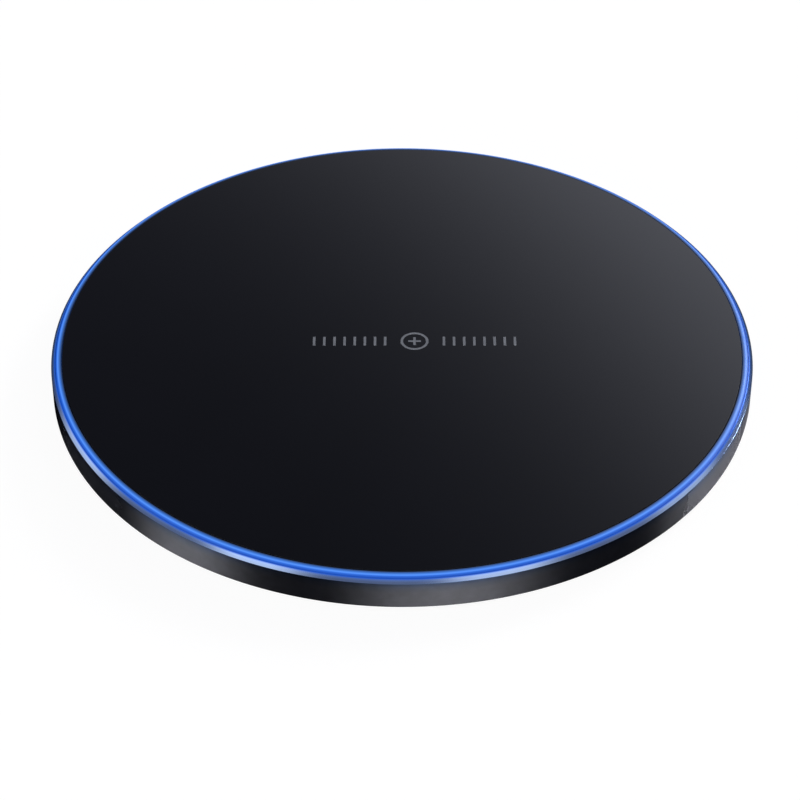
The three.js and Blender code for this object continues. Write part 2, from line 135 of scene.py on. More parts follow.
@dataclass(frozen=True)
class Coat:
    """A material in the making: its nodes, its Principled shader and its Object coordinates."""

    tree: Tree
    shader: bpy.types.Node
    place: Feed

    def node(
        self, kind: str, settings: dict | None = None, inputs: dict | None = None
    ) -> bpy.types.Node:
        """Adds a node to the material, in the way of add_node."""
        return add_node(self.tree, kind, settings, inputs)

    def feed(self, socket: str, source: Feed) -> None:
        """Links a value to one of the shader's sockets."""
        self.tree.links.new(source, self.shader.inputs[socket])

    def fed(self, socket: str) -> Feed:
        """Finds what feeds one of the shader's sockets."""
        return self.shader.inputs[socket].links[0].from_socket

    def reach(self) -> Feed:
        """Measures how far a point lies from the Z axis.

        Returns:
            The distance, in metres.
        """
        flat = self.node("VectorMath", {"operation": "MULTIPLY"}, {0: self.place, 1: (1, 1, 0)})
        reach = self.node("VectorMath", {"operation": "LENGTH"}, {0: flat.outputs[0]})
        return reach.outputs["Value"]

    def tint(self, source: Feed, stops: Stops) -> None:
        """Multiplies the base colour by colours laid along a value.

        Args:
            source: the value, from 0 to 1.
            stops: places and their hex colours.
        """
        tint = self.node("ValToRGB", {"stops": stops}, {0: source})
        mix = self.node(
            "Mix",
            {"data_type": "RGBA", "blend_type": "MULTIPLY"},
            {0: 1.0, 6: self.fed("Base Color"), 7: tint.outputs["Color"]},
        )
        self.feed("Base Color", mix.outputs[2])


# ---------------------------------------------------------------- finishes


@dataclass(frozen=True)
class Finish:
    """A surface made of one stuff: two tones, a grain, and a sheen that wanders a little.

    Sizes are millimetres. A finish with its own pattern makes it in pattern() or dress().
    """

    title: str
    light: str
    dark: str
    roughness: float
    wander: float = 0.04
    grain: float = 0.25
    relief: float = 0.004
    metallic: float = 0.0
    ior: float = 1.5
    tone_grains: float = 12
    sheen_grains: float = 5

    def material(self) -> bpy.types.Material:
        """Makes the material once, and finds it again after that.

        Returns:
            The material.
        """
        found = bpy.data.materials.get(self.title)
        if found:
            return found
        made = bpy.data.materials.new(self.title)
        made.use_nodes = True
        tree = made.node_tree
        tree.nodes.clear()
        shader = add_node(tree, "BsdfPrincipled", inputs={"Metallic": self.metallic})
        if not self.metallic:
            shader.inputs["IOR"].default_value = self.ior
        add_node(tree, "OutputMaterial", inputs={"Surface": shader.outputs[0]})
        self.dress(Coat(tree, shader, add_node(tree, "TexCoord").outputs["Object"]))
        return made

    def dress(self, coat: Coat) -> None:
        """Lays on the tones, the sheen and the relief.

        Args:
            coat: the material in the making.
        """
        self.tone(coat)
        self.sheen(coat)
        relief = {"Distance": self.relief * MM, "Strength": 1.0}
        bump = coat.node("Bump", inputs={"Height": self.pattern(coat), **relief})
        coat.feed("Normal", bump.outputs[0])

    def tone(self, coat: Coat) -> None:
        """Blends the two tones in soft patches, many grains wide.

        Args:
            coat: the material in the making.
        """
        scale = 1 / (self.tone_grains * self.grain * MM)
        cloud = coat.node("TexNoise", inputs={"Vector": coat.place, "Scale": scale, "Detail": 4.0})
        stops = [(0.3, self.dark), (0.7, self.light)]
        tones = coat.node("ValToRGB", {"stops": stops}, {0: cloud.outputs[0]})
        coat.feed("Base Color", tones.outputs["Color"])

    def sheen(self, coat: Coat) -> None:
        """Lets the roughness wander about its middle value, in patches a few grains wide.

        Args:
            coat: the material in the making.
        """
        scale = 1 / (self.sheen_grains * self.grain * MM)
        cloud = coat.node("TexNoise", inputs={"Vector": coat.place, "Scale": scale, "Detail": 3.0})
        limits = {
            "To Min": max(self.roughness - self.wander, 0.01),
            "To Max": self.roughness + self.wander,
        }
        share = coat.node("MapRange", inputs={"Value": cloud.outputs[0], **limits})
        coat.feed("Roughness", share.outputs["Result"])

    def pattern(self, coat: Coat) -> Feed:
        """Makes the pattern of the relief, here a fine grain.

        Args:
            coat: the material in the making.

        Returns:
            The relief's height.
        """
        scale = 1 / (self.grain * MM)
        grain = coat.node("TexNoise", inputs={"Vector": coat.place, "Scale": scale, "Detail": 2.0})
        return grain.outputs[0]


@dataclass(frozen=True)
class PaintedGlowFinish(Finish):
    """A finish whose glow and base-colour tint run from one radius round Z to another: painted
    highlights, reflections and shade.
    """

    inner: float = 48.4
    outer: float = 49.4
    strength: float = 1.0
    # glow is emission along the radius that paints a highlight or a reflection; shade multiplies
    # the base colour as painted shade.
    glow: tuple[tuple[float, str], ...] = ((0.0, "000000"),)
    shade: tuple[tuple[float, str], ...] = ((0.0, "FFFFFF"),)

    def dress(self, coat: Coat) -> None:
        """Adds the glow and the tint, which paint highlights, reflections and shade, to the usual
        tones and grain.

        Args:
            coat: the material in the making.
        """
        super().dress(coat)
        limits = {"From Min": self.inner * MM, "From Max": self.outer * MM}
        share = coat.node("MapRange", inputs={"Value": coat.reach(), **limits}).outputs["Result"]
        glow = coat.node("ValToRGB", {"stops": self.glow}, {0: share})
        coat.feed("Emission Color", glow.outputs["Color"])
        coat.shader.inputs["Emission Strength"].default_value = self.strength
        # Painted shade: the base colour is darkened along the radius.
        coat.tint(share, self.shade)


@dataclass(frozen=True)
class TurnedFinish(Finish):
    """Lathe-turned metal: fine rings round the piece draw each light out into an upright streak,
    and painted blue light of the ring lies along its top.
    """

    pitch: float = 0.06
    ring_strength: float = 0.4
    stretch: float = 1.0
    stretch_turn: float = 0.25
    edge_tint: str = "202020"
    # Between these heights, in mm, the base colour turns bluer upwards: painted light of the lit
    # ring.
    low: float = 3.6
    high: float = 5.0
    painted_ring_light: tuple[tuple[float, str], ...] = ((0.0, "FFFFFF"), (0.6, "E4EEFF"), (1.0, "A8CCFF"))

    def dress(self, coat: Coat) -> None:
        """Adds painted blue light of the ring towards the top, the turning marks and the direction
        in which they spread light.

        Args:
            coat: the material in the making.
        """
        super().dress(coat)
        height = coat.node("SeparateXYZ", inputs={0: coat.place}).outputs["Z"]
        limits = {"From Min": self.low * MM, "From Max": self.high * MM}
        share = coat.node("MapRange", inputs={"Value": height, **limits})
        # Painted light: the ring's blue light is painted into the wall's colour towards the top.
        coat.tint(share.outputs["Result"], self.painted_ring_light)
        tangent = coat.node("Tangent", {"direction_type": "RADIAL", "axis": "Z"})
        coat.feed("Tangent", tangent.outputs[0])
        coat.shader.inputs["Anisotropic"].default_value = self.stretch
        coat.shader.inputs["Anisotropic Rotation"].default_value = self.stretch_turn
        coat.shader.inputs["Specular Tint"].default_value = linear(self.edge_tint)
        # The wave turns through 20 radians for each unit of its scaled height.
        rings = coat.node(
            "TexWave",
            {"wave_type": "BANDS", "bands_direction": "Z"},
            {"Vector": coat.place, "Scale": 1 / (20 * self.pitch * MM), "Distortion": 0.4},
        )
        marks = {"Height": rings.outputs["Fac"], "Distance": self.relief * MM}
        under = {"Strength": self.ring_strength, "Normal": coat.fed("Normal")}
        coat.feed("Normal", coat.node("Bump", inputs={**marks, **under}).outputs[0])


@dataclass(frozen=True)
class StrandFinish(Finish):
    """Litz wire: many fine enamelled strands twisted together, which show as slanting ridges."""

    strands: int = 260
    lay: float = 1.1

    def pattern(self, coat: Coat) -> Feed:
        """Makes slanting ridges along the winding.

        Args:
            coat: the material in the making.

        Returns:
            The relief's height.
        """
        axes = coat.node("SeparateXYZ", inputs={0: coat.place}).outputs
        turn = coat.node("Math", {"operation": "ARCTAN2"}, {0: axes["Y"], 1: axes["X"]})
        slant = FULL_TURN / (self.lay * MM)
        rise = coat.node("Math", {"operation": "MULTIPLY"}, {0: axes["Z"], 1: slant})
        phase = coat.node(
            "Math",
            {"operation": "MULTIPLY_ADD"},
            {0: turn.outputs[0], 1: float(self.strands), 2: rise.outputs[0]},
        )
        return coat.node("Math", {"operation": "SINE"}, {0: phase.outputs[0]}).outputs[0]


@dataclass(frozen=True)
class BoardFinish(Finish):
    """Solder mask over copper: lines of copper run round the ring and stand up a little."""

    line_pitch: float = 1.3
    patch_lines: float = 6
    shift: float = 4.0
    copper: str = "1F7A4A"

    def pattern(self, coat: Coat) -> Feed:
        """Draws the copper lines under the mask, shifted from patch to patch.

        Args:
            coat: the material in the making.

        Returns:
            The relief's height.
        """
        scale = 1 / (self.patch_lines * self.line_pitch * MM)
        patch = coat.node(
            "TexVoronoi", {"distance": "MANHATTAN"}, {"Vector": coat.place, "Scale": scale}
        )
        shift = coat.node(
            "Math", {"operation": "MULTIPLY"}, {0: patch.outputs["Distance"], 1: self.shift}
        )
        phase = coat.node(
            "Math",
            {"operation": "MULTIPLY_ADD"},
            {0: coat.reach(), 1: FULL_TURN / (self.line_pitch * MM), 2: shift.outputs[0]},
        )
        wave = coat.node("Math", {"operation": "SINE"}, {0: phase.outputs[0]})
        line = coat.node(
            "MapRange",
            {"interpolation_type": "SMOOTHSTEP"},
            {"Value": wave.outputs[0], "From Min": 0.3, "From Max": 0.5},
        ).outputs["Result"]
        mix = coat.node(
            "Mix",
            {"data_type": "RGBA"},
            {0: line, 6: coat.fed("Base Color"), 7: linear(self.copper)},
        )
        coat.feed("Base Color", mix.outputs[2])
        return line


# Float glass, ground and polished, black ceramic print fired on its back: a deep cool black
# under a clean sharp gloss, with the faintest smears of handling.
GLASS = Finish("Glass_BackPrinted", "0B0C10", "090A0D", 0.03, 0.015, 1.6, 0.0, 0.0, 1.52)
# Float glass, ground at its edge: matt and dark, so that it draws a quiet line round the top.
GROUND_EDGE = Finish("Glass_GroundEdge", "0B0C10", "08090C", 0.6, 0.05, 0.1, 0.001, ior=1.3)
# Pad-printed epoxy ink: flat mid grey, a little uneven in cover.
INK = Finish("EpoxyInk_PadPrinted", "83868B", "74777C", 0.45, 0.05, 0.08, 0.001)
# Acrylic foam tape, die-cut: dull black with a soft open grain.
TAPE = Finish("AcrylicFoamTape_DieCut", "202022", "161618", 0.85, 0.05, 0.2, 0.01)
# Opal polycarbonate, moulded and lit by blue lamps below. Its glow holds a painted highlight,
# brightest along its crown, deeper blue at both edges and near black at the inner edge as painted
# shade.
OPAL = PaintedGlowFinish(
    "PolycarbonateOpal_LitWithPaintedHighlight",
    "0E1624",
    "0A101C",
    0.5,
    0.05,
    0.3,
    0.002,
    ior=1.4,
    inner=48.43,
    outer=49.37,
    glow=(
        (0.0, "061228"),
        (0.1, "0C2248"),
        (0.28, "2A5698"),
        (0.48, "3C78DC"),
        (0.66, "5898FF"),
        (0.8, "286ADE"),
        (0.92, "0C54C4"),
        (1.0, "0848B4"),
    ),
)
# Aluminium, diamond-cut and clear anodised: a bright cool mirror. Its blue colour and blue glow
# are a painted reflection of the lit ring beside it, and its darker inner edge is painted shade.
DIAMOND_CUT = PaintedGlowFinish(
    "AluminiumDiamondCut_Anodised_PaintedRingReflection",
    "C4DBFF",
    "B6CEF6",
    0.14,
    0.03,
    0.4,
    0.0004,
    metallic=1.0,
    inner=49.46,
    outer=50.0,
    glow=((0.0, "1650C0"), (0.12, "1650B4"), (0.3, "143C7C"), (0.6, "0C2246"), (1.0, "081226")),
    shade=((0.0, "3A5078"), (0.28, "FFFFFF")),
)
# Aluminium, lathe-turned, blasted and dyed black: satin, with upright streaks of light and painted
# blue ring light along its top.
ANODISED = TurnedFinish(
    "AluminiumTurned_AnodisedBlack", "55555A", "4E4E52", 0.4, 0.03, 0.12, 0.0008, metallic=1.0
)
# PC/ABS blend, moulded against a spark-eroded tool: even matt black grain.
MOULDED = Finish("PcAbs_SparkErodedBlack", "1E1E20", "161618", 0.6, 0.06, 0.28, 0.012)
# Silicone rubber, compression moulded: dull, faintly dusty black.
SILICONE = Finish("Silicone_MouldedBlack", "262628", "1B1B1D", 0.82, 0.06, 0.35, 0.006)
# Carbon steel, cold-headed and zinc plated: bright grey with a soft wandering sheen.
ZINC_STEEL = Finish("Steel_ZincPlated", "B4B7BB", "9A9DA2", 0.33, 0.08, 0.15, 0.001, 1.0)
# Stainless steel, stamped and nickel plated: pale, smooth and slightly streaked.
NICKEL_STEEL = Finish("Steel_NickelPlated", "CFCDC8", "B9B7B2", 0.24, 0.06, 0.2, 0.001, 1.0)
# Liquid-crystal polymer, moulded: flat black with pale flow marks.
CONTACT_BLOCK = Finish("Lcp_MouldedBlack", "202022", "151517", 0.5, 0.06, 0.15, 0.003)
# Phosphor bronze, gold flashed: warm and smooth.
GOLD_FLASH = Finish("Bronze_GoldFlashed", "E2B45A", "C8963C", 0.25, 0.06, 0.1, 0.0005, 1.0)

# Copper, drawn and enamelled, twisted as litz: warm brown red with silky slanting ridges.
LITZ = StrandFinish("Copper_EnamelledLitz", "B8683A", "8E4824", 0.38, 0.06, 0.2, 0.02, 1.0)
# Copper, drawn and enamelled: smooth warm brown red.
ENAMELLED = Finish("Copper_Enamelled", "B8683A", "96502A", 0.35, 0.05, 0.15, 0.001, 1.0)
# Manganese-zinc ferrite, pressed and sintered: dense dark grey with a fine dry grain.
SINTERED = Finish("Ferrite_Sintered", "46484C", "303236", 0.7, 0.08, 0.12, 0.004)
# Glass-filled nylon, moulded: off-white with pale flow clouds.
NYLON = Finish("NylonGlassFilled_Moulded", "DEDED8", "CACAC2", 0.55, 0.06, 0.3, 0.006)
# Epoxy, dipped: glossy dark green drop.
DIPPED = Finish("Epoxy_Dipped", "2F5240", "22402F", 0.25, 0.05, 0.2, 0.002)
# Glass-epoxy board under screen-printed solder mask: glossy green over lighter copper lines.
MASKED = BoardFinish("GlassEpoxy_SolderMask", "125030", "0D4226", 0.35, 0.05, 0.4, 0.03)
# Epoxy moulding compound: flat black with a fine matt grain.
CHIP_BODY = Finish("EpoxyMoulded_ChipBlack", "222224", "18181A", 0.55, 0.06, 0.08, 0.003)
# Barium titanate, tape cast and fired: even tan, a little waxy.
FIRED = Finish("Ceramic_FiredTan", "B99B74", "A68860", 0.42, 0.06, 0.15, 0.002)
# Iron powder, pressed with resin: speckled mid grey.
PRESSED = Finish("IronPowder_Pressed", "5A5C60", "3E4044", 0.62, 0.08, 0.06, 0.006)
# Polyphthalamide, moulded: clean bright white, as lamp bodies are.
LAMP_BODY = Finish("Polyphthalamide_MouldedWhite", "ECEEF0", "DCDFE3", 0.4, 0.05, 0.12, 0.002)
# Silicone with phosphor, cast: soft yellow lens.
LENS = Finish("SiliconePhosphor_Cast", "E8D878", "D8C45C", 0.2, 0.05, 0.15, 0.002, ior=1.41)
# Tin-silver solder over copper, reflowed: bright, soft edged.
TINNED = Finish("Solder_Reflowed", "CBCDD0", "B0B3B8", 0.28, 0.07, 0.12, 0.003, 1.0)


# ---------------------------------------------------------------- shapes


@dataclass(frozen=True)
class Reach:
    """How far a CAD node reaches, in mm."""

    low: Vector
    high: Vector

    @staticmethod
    def of(node: str) -> Reach:
        """Reads a node's box."""
        low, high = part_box(node)
        return Reach(low / MM, high / MM)

    @property
    def radius(self) -> float:
        """Half the width, which is the radius of a round piece."""
        return (self.high.x - self.low.x) / 2

    @property
    def middle(self) -> Vector:
        """The box's centre."""
        return (self.low + self.high) / 2


def hole_radius(node: str) -> float:
    """Measures how near a CAD node's mesh comes to the Z axis, in mm."""
    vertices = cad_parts[node].data.vertices
    return min(math.hypot(vertex.co.x, vertex.co.y) for vertex in vertices) / MM


def tidy(form: Form) -> Form:
    """Closes seams and poles and turns every face outwards.

    Args:
        form: the mesh.

    Returns:
        The same mesh.
    """
    bmesh.ops.remove_doubles(form, verts=form.verts, dist=WELD)
    bmesh.ops.dissolve_degenerate(form, edges=form.edges, dist=WELD)
    bmesh.ops.recalc_face_normals(form, faces=form.faces)
    return form


def held(outline: Outline, hold: float, closed: bool) -> Outline:
    """Adds a corner a little way in from each end of every long run, so that flats stay flat.

    Args:
        outline: radius and height of each corner, in mm.
        hold: how far in.
        closed: whether the last corner joins the first.

    Returns:
        The longer outline.
    """
    points = [Vector(corner) for corner in outline]
    full: list[Vector] = []
    for number, start in enumerate(points):
        full.append(start)
        if number == len(points) - 1 and not closed:
            break
        end = points[(number + 1) % len(points)]
        length = (end - start).length
        if length > 4 * hold:
            step = (end - start) * (hold / length)
            full += [start + step] if start.x > 0 else []
            full += [end - step] if end.x > 0 else []
    return [tuple(point) for point in full]


def spun(
    outline: Outline, sides: int = RING_SIDES, closed: bool = True, hold: float = 0.0
) -> Form:
    """Turns an outline about Z.

    Args:
        outline: radius and height of each corner, in mm.
        sides: how many steps the turn takes.
        closed: whether the last corner joins the first.
        hold: where extra hoops hold the flats, in mm from the corners. None at 0.

    Returns:
        A closed form. An open outline has to begin and end on the axis.
    """
    if hold:
        outline = held(outline, hold, closed)
    form = bmesh.new()
    corners = [form.verts.new((radius, 0, height)) for radius, height in outline]
    pairs = list(zip(corners, corners[1:], strict=False))
    if closed:
        pairs.append((corners[-1], corners[0]))
    for pair in pairs:
        form.edges.new(pair)
    bmesh.ops.spin(
        form,
        geom=form.verts[:] + form.edges[:],
        cent=(0, 0, 0),
        axis=(0, 0, 1),
        angle=FULL_TURN,
        steps=sides,
        use_merge=True,
    )
    return tidy(form)


def ease(
    form: Form, edges: list[bmesh.types.BMEdge], size: float, segments: int = 2
) -> None:
    """Rounds some edges.

    Args:
        form: the mesh.
        edges: the edges.
        size: the rounding's width, in mm.
        segments: its facets.
    """
    bmesh.ops.bevel(
        form,
        geom=edges,
        offset=size,
        segments=segments,
        profile=0.5,
        affect="EDGES",
        material=-1,
        clamp_overlap=True,
    )


def hoops(form: Form, corners: Outline) -> list[bmesh.types.BMEdge]:
    """Finds the edges that run round Z at given corners of an outline.

    Args:
        form: a turned mesh.
        corners: radius and height of each hoop, in mm.

    Returns:
        The hoops' edges.
    """
    slack = 0.004

    def on(vert: bmesh.types.BMVert, radius: float, height: float) -> bool:
        """Whether a vertex lies on that hoop."""
        reach = math.hypot(vert.co.x, vert.co.y)
        return abs(reach - radius) < slack and abs(vert.co.z - height) < slack

    return [
        edge
        for edge in form.edges
        if any(all(on(vert, *corner) for vert in edge.verts) for corner in corners)
    ]


def sharp_edges(form: Form, degrees: float = 40) -> list[bmesh.types.BMEdge]:
    """Finds the edges where the surface turns by more than an angle."""
    limit = math.radians(degrees)
    return [edge for edge in form.edges if edge.is_manifold and edge.calc_face_angle(0) > limit]


def edges_along_y(form: Form) -> list[bmesh.types.BMEdge]:
    """Finds the edges that run along Y."""
    return [edge for edge in form.edges if abs(edge.verts[0].co.y - edge.verts[1].co.y) > 0.1]


def prism(points: list[Point], along: Point) -> Form:
    """Draws an outline out into a solid.

    Args:
        points: the flat outline's corners, in mm.
        along: how far and which way it is drawn out.

    Returns:
        A closed form.
    """
    form = bmesh.new()
    face = form.faces.new([form.verts.new(point) for point in points])
    drawn = bmesh.ops.extrude_face_region(form, geom=[face], use_keep_orig=True)
    moved = [item for item in drawn["geom"] if isinstance(item, bmesh.types.BMVert)]
    bmesh.ops.translate(form, vec=along, verts=moved)
    return tidy(form)


def block(one: Point, other: Point, edge: float = 0.0, segments: int = 2) -> Form:
    """Makes a box with eased edges.

    Args:
        one: one of its corners, in mm.
        other: the corner opposite.
        edge: the rounding of its edges.
        segments: the rounding's facets.

    Returns:
        A closed form.
    """
    low = Vector([min(pair) for pair in zip(one, other, strict=True)])
    high = Vector([max(pair) for pair in zip(one, other, strict=True)])
    form = bmesh.new()
    bmesh.ops.create_cube(form, size=1.0)
    bmesh.ops.scale(form, vec=high - low, verts=form.verts)
    bmesh.ops.translate(form, vec=(low + high) / 2, verts=form.verts)
    if edge:
        ease(form, form.edges[:], edge, segments)
    return form


def round_post(
    radius: float, low: float, high: float, x: float = 0.0, y: float = 0.0, sides: int = 48
) -> Form:
    """Makes an upright round post.

    Args:
        radius: its radius, in mm.
        low: its lower level.
        high: its upper level.
        x: its place along X.
        y: its place along Y.
        sides: its facets.

    Returns:
        A closed form.
    """
    form = bmesh.new()
    bmesh.ops.create_cone(
        form,
        cap_ends=True,
        segments=sides,
        radius1=radius,
        radius2=radius,
        depth=high - low,
        matrix=Matrix.Translation((x, y, (low + high) / 2)),
    )
    return form


def tube(points: Iterable[Vector], radius: float, fineness: int = 2) -> Form:
    """Draws a round wire along points.

    Args:
        points: the wire's middle line, in mm.
        radius: the wire's radius.
        fineness: how finely its section is divided.

    Returns:
        A closed form.
    """
    curve = bpy.data.curves.new("tube", "CURVE")
    curve.dimensions = "3D"
    curve.bevel_depth, curve.bevel_resolution, curve.use_fill_caps = radius, fineness, True
    points = list(points)
    line = curve.splines.new("POLY")
    line.points.add(len(points) - 1)
    for target, point in zip(line.points, points, strict=True):
        target.co = (*point, 1)
    carrier = bpy.data.objects.new("tube", curve)
    mesh = bpy.data.meshes.new_from_object(carrier)
    form = bmesh.new()
    form.from_mesh(mesh)
    bpy.data.objects.remove(carrier)
    bpy.data.curves.remove(curve)
    bpy.data.meshes.remove(mesh)
    return tidy(form)


def merged_copy(node: str) -> Form:
    """Copies a CAD node's mesh, in mm, and joins its loose triangles."""
    form = bmesh.new()
    form.from_mesh(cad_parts[node].data)
    bmesh.ops.scale(form, vec=(1 / MM, 1 / MM, 1 / MM), verts=form.verts)
    bmesh.ops.remove_doubles(form, verts=form.verts, dist=WELD)
    return form


def corner_turn(corner: int) -> Matrix:
    """Gives the turn about Z that brings a shape from +X to one of the four corners."""
    return Matrix.Rotation((corner + 0.5) * math.pi / 2, 4, "Z")


def placed(form: Form, matrix: Matrix) -> Form:
    """Moves a whole form and hands it back."""
    bmesh.ops.transform(form, matrix=matrix, verts=form.verts)
    return form


def together(*forms: Form) -> Form:
    """Puts several forms into one mesh, each with the finish number that its faces carry.

    Args:
        forms: the meshes, which are used up.

    Returns:
        One mesh.
    """
    whole = bmesh.new()
    for form in forms:
        carrier = bpy.data.meshes.new("carrier")
        form.to_mesh(carrier)
        form.free()
        whole.from_mesh(carrier)
        bpy.data.meshes.remove(carrier)
    return whole


def painted(form: Form, number: int) -> Form:
    """Gives every face of a form one finish number."""
    for face in form.faces:
        face.material_index = number
    return form


def carve(form: Form, tools: list[Form], operation: str = "DIFFERENCE") -> Form:
    """Cuts tools out of a form, or joins them to it.

    Args:
        form: the mesh, which is used up.
        tools: closed meshes, used up too.
        operation: the Boolean modifier's word for what is done.

    Returns:
        The new mesh.
    """
    for tool in tools:
        objects = []
        for part in (form, tool):
            mesh = bpy.data.meshes.new("carve")
            part.to_mesh(mesh)
            part.free()
            made = bpy.data.objects.new("carve", mesh)
            bpy.context.scene.collection.objects.link(made)
            objects.append(made)
        cut = objects[0].modifiers.new("cut", "BOOLEAN")
        cut.object, cut.operation, cut.solver = objects[1], operation, "EXACT"
        bpy.context.view_layer.update()
        seen = objects[0].evaluated_get(bpy.context.evaluated_depsgraph_get())
        form = bmesh.new()
        form.from_mesh(seen.to_mesh())
        seen.to_mesh_clear()
        for made in objects:
            mesh = made.data
            bpy.data.objects.remove(made)
            bpy.data.meshes.remove(mesh)
    return tidy(form)


def settle(
    name: str,
    form: Form,
    finishes: list[Finish],
    replaced: Iterable[str] = (),
    smooth: float = 32,
) -> bpy.types.Object:
    """Makes a finished piece of a form and puts it on the pad.

    Args:
        name: the piece's name.
        form: its mesh in mm, which is used up.
        finishes: its finishes, in the order of the faces' numbers.
        replaced: the CAD nodes that it stands for.
        smooth: edges that turn by more than this many degrees stay sharp.

    Returns:
        The piece.
    """
    bmesh.ops.scale(form, vec=(MM, MM, MM), verts=form.verts)
    mesh = bpy.data.meshes.new(name)
    form.to_mesh(mesh)
    form.free()
    mesh.shade_smooth()
    mesh.set_sharp_from_angle(angle=math.radians(smooth))
    piece = bpy.data.objects.new(name, mesh)
    bpy.context.scene.collection.objects.link(piece)
    for finish in finishes:
        mesh.materials.append(finish.material())
    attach(piece, "root")
    replaced = list(replaced)
    if replaced:
        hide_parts(*replaced)
    LOG.info("%s: %d faces", name, len(mesh.polygons))
    return piece


def redress(node: str, finish: Finish) -> None:
    """Gives a CAD node, whose shape is right, its finish."""
    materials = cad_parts[node].data.materials
    for number in range(len(materials)):
        materials[number] = finish.material()
    LOG.info("%s: dressed", node)


# ---------------------------------------------------------------- camera and studio


@dataclass(frozen=True)
class Viewpoint:
    """The camera: far off with a long lens, looking down on the pad from the front."""

    lens: float = 129.6
    sensor: float = 36.0
    elevation: float = 39.23
    distance: float = 401.3
    aside: float = -0.28
    ahead: float = -13.32
    height: float = 6.0

    def build(self) -> None:
        """Sets the scene's camera."""
        data = bpy.data.cameras.new("camera")
        data.lens, data.sensor_width = self.lens, self.sensor
        data.clip_start, data.clip_end = 0.01, 50
        camera = bpy.data.objects.new("camera", data)
        bpy.context.scene.collection.objects.link(camera)
        tilt = math.radians(self.elevation)
        back = Vector((0, -math.cos(tilt), math.sin(tilt))) * self.distance
        camera.location = (Vector((self.aside, self.ahead, self.height)) + back) * MM
        camera.rotation_euler = (math.pi / 2 - tilt, 0, 0)
        bpy.context.scene.camera = camera
        LOG.info("camera")


@dataclass(frozen=True)
class SoftBox:
    """A soft-edged light far off: where it stands, how wide and tall it looks, all in degrees."""

    azimuth: float
    elevation: float
    width: float
    height: float
    edge: float
    radiance: float
    tint: str = "FFFFFF"


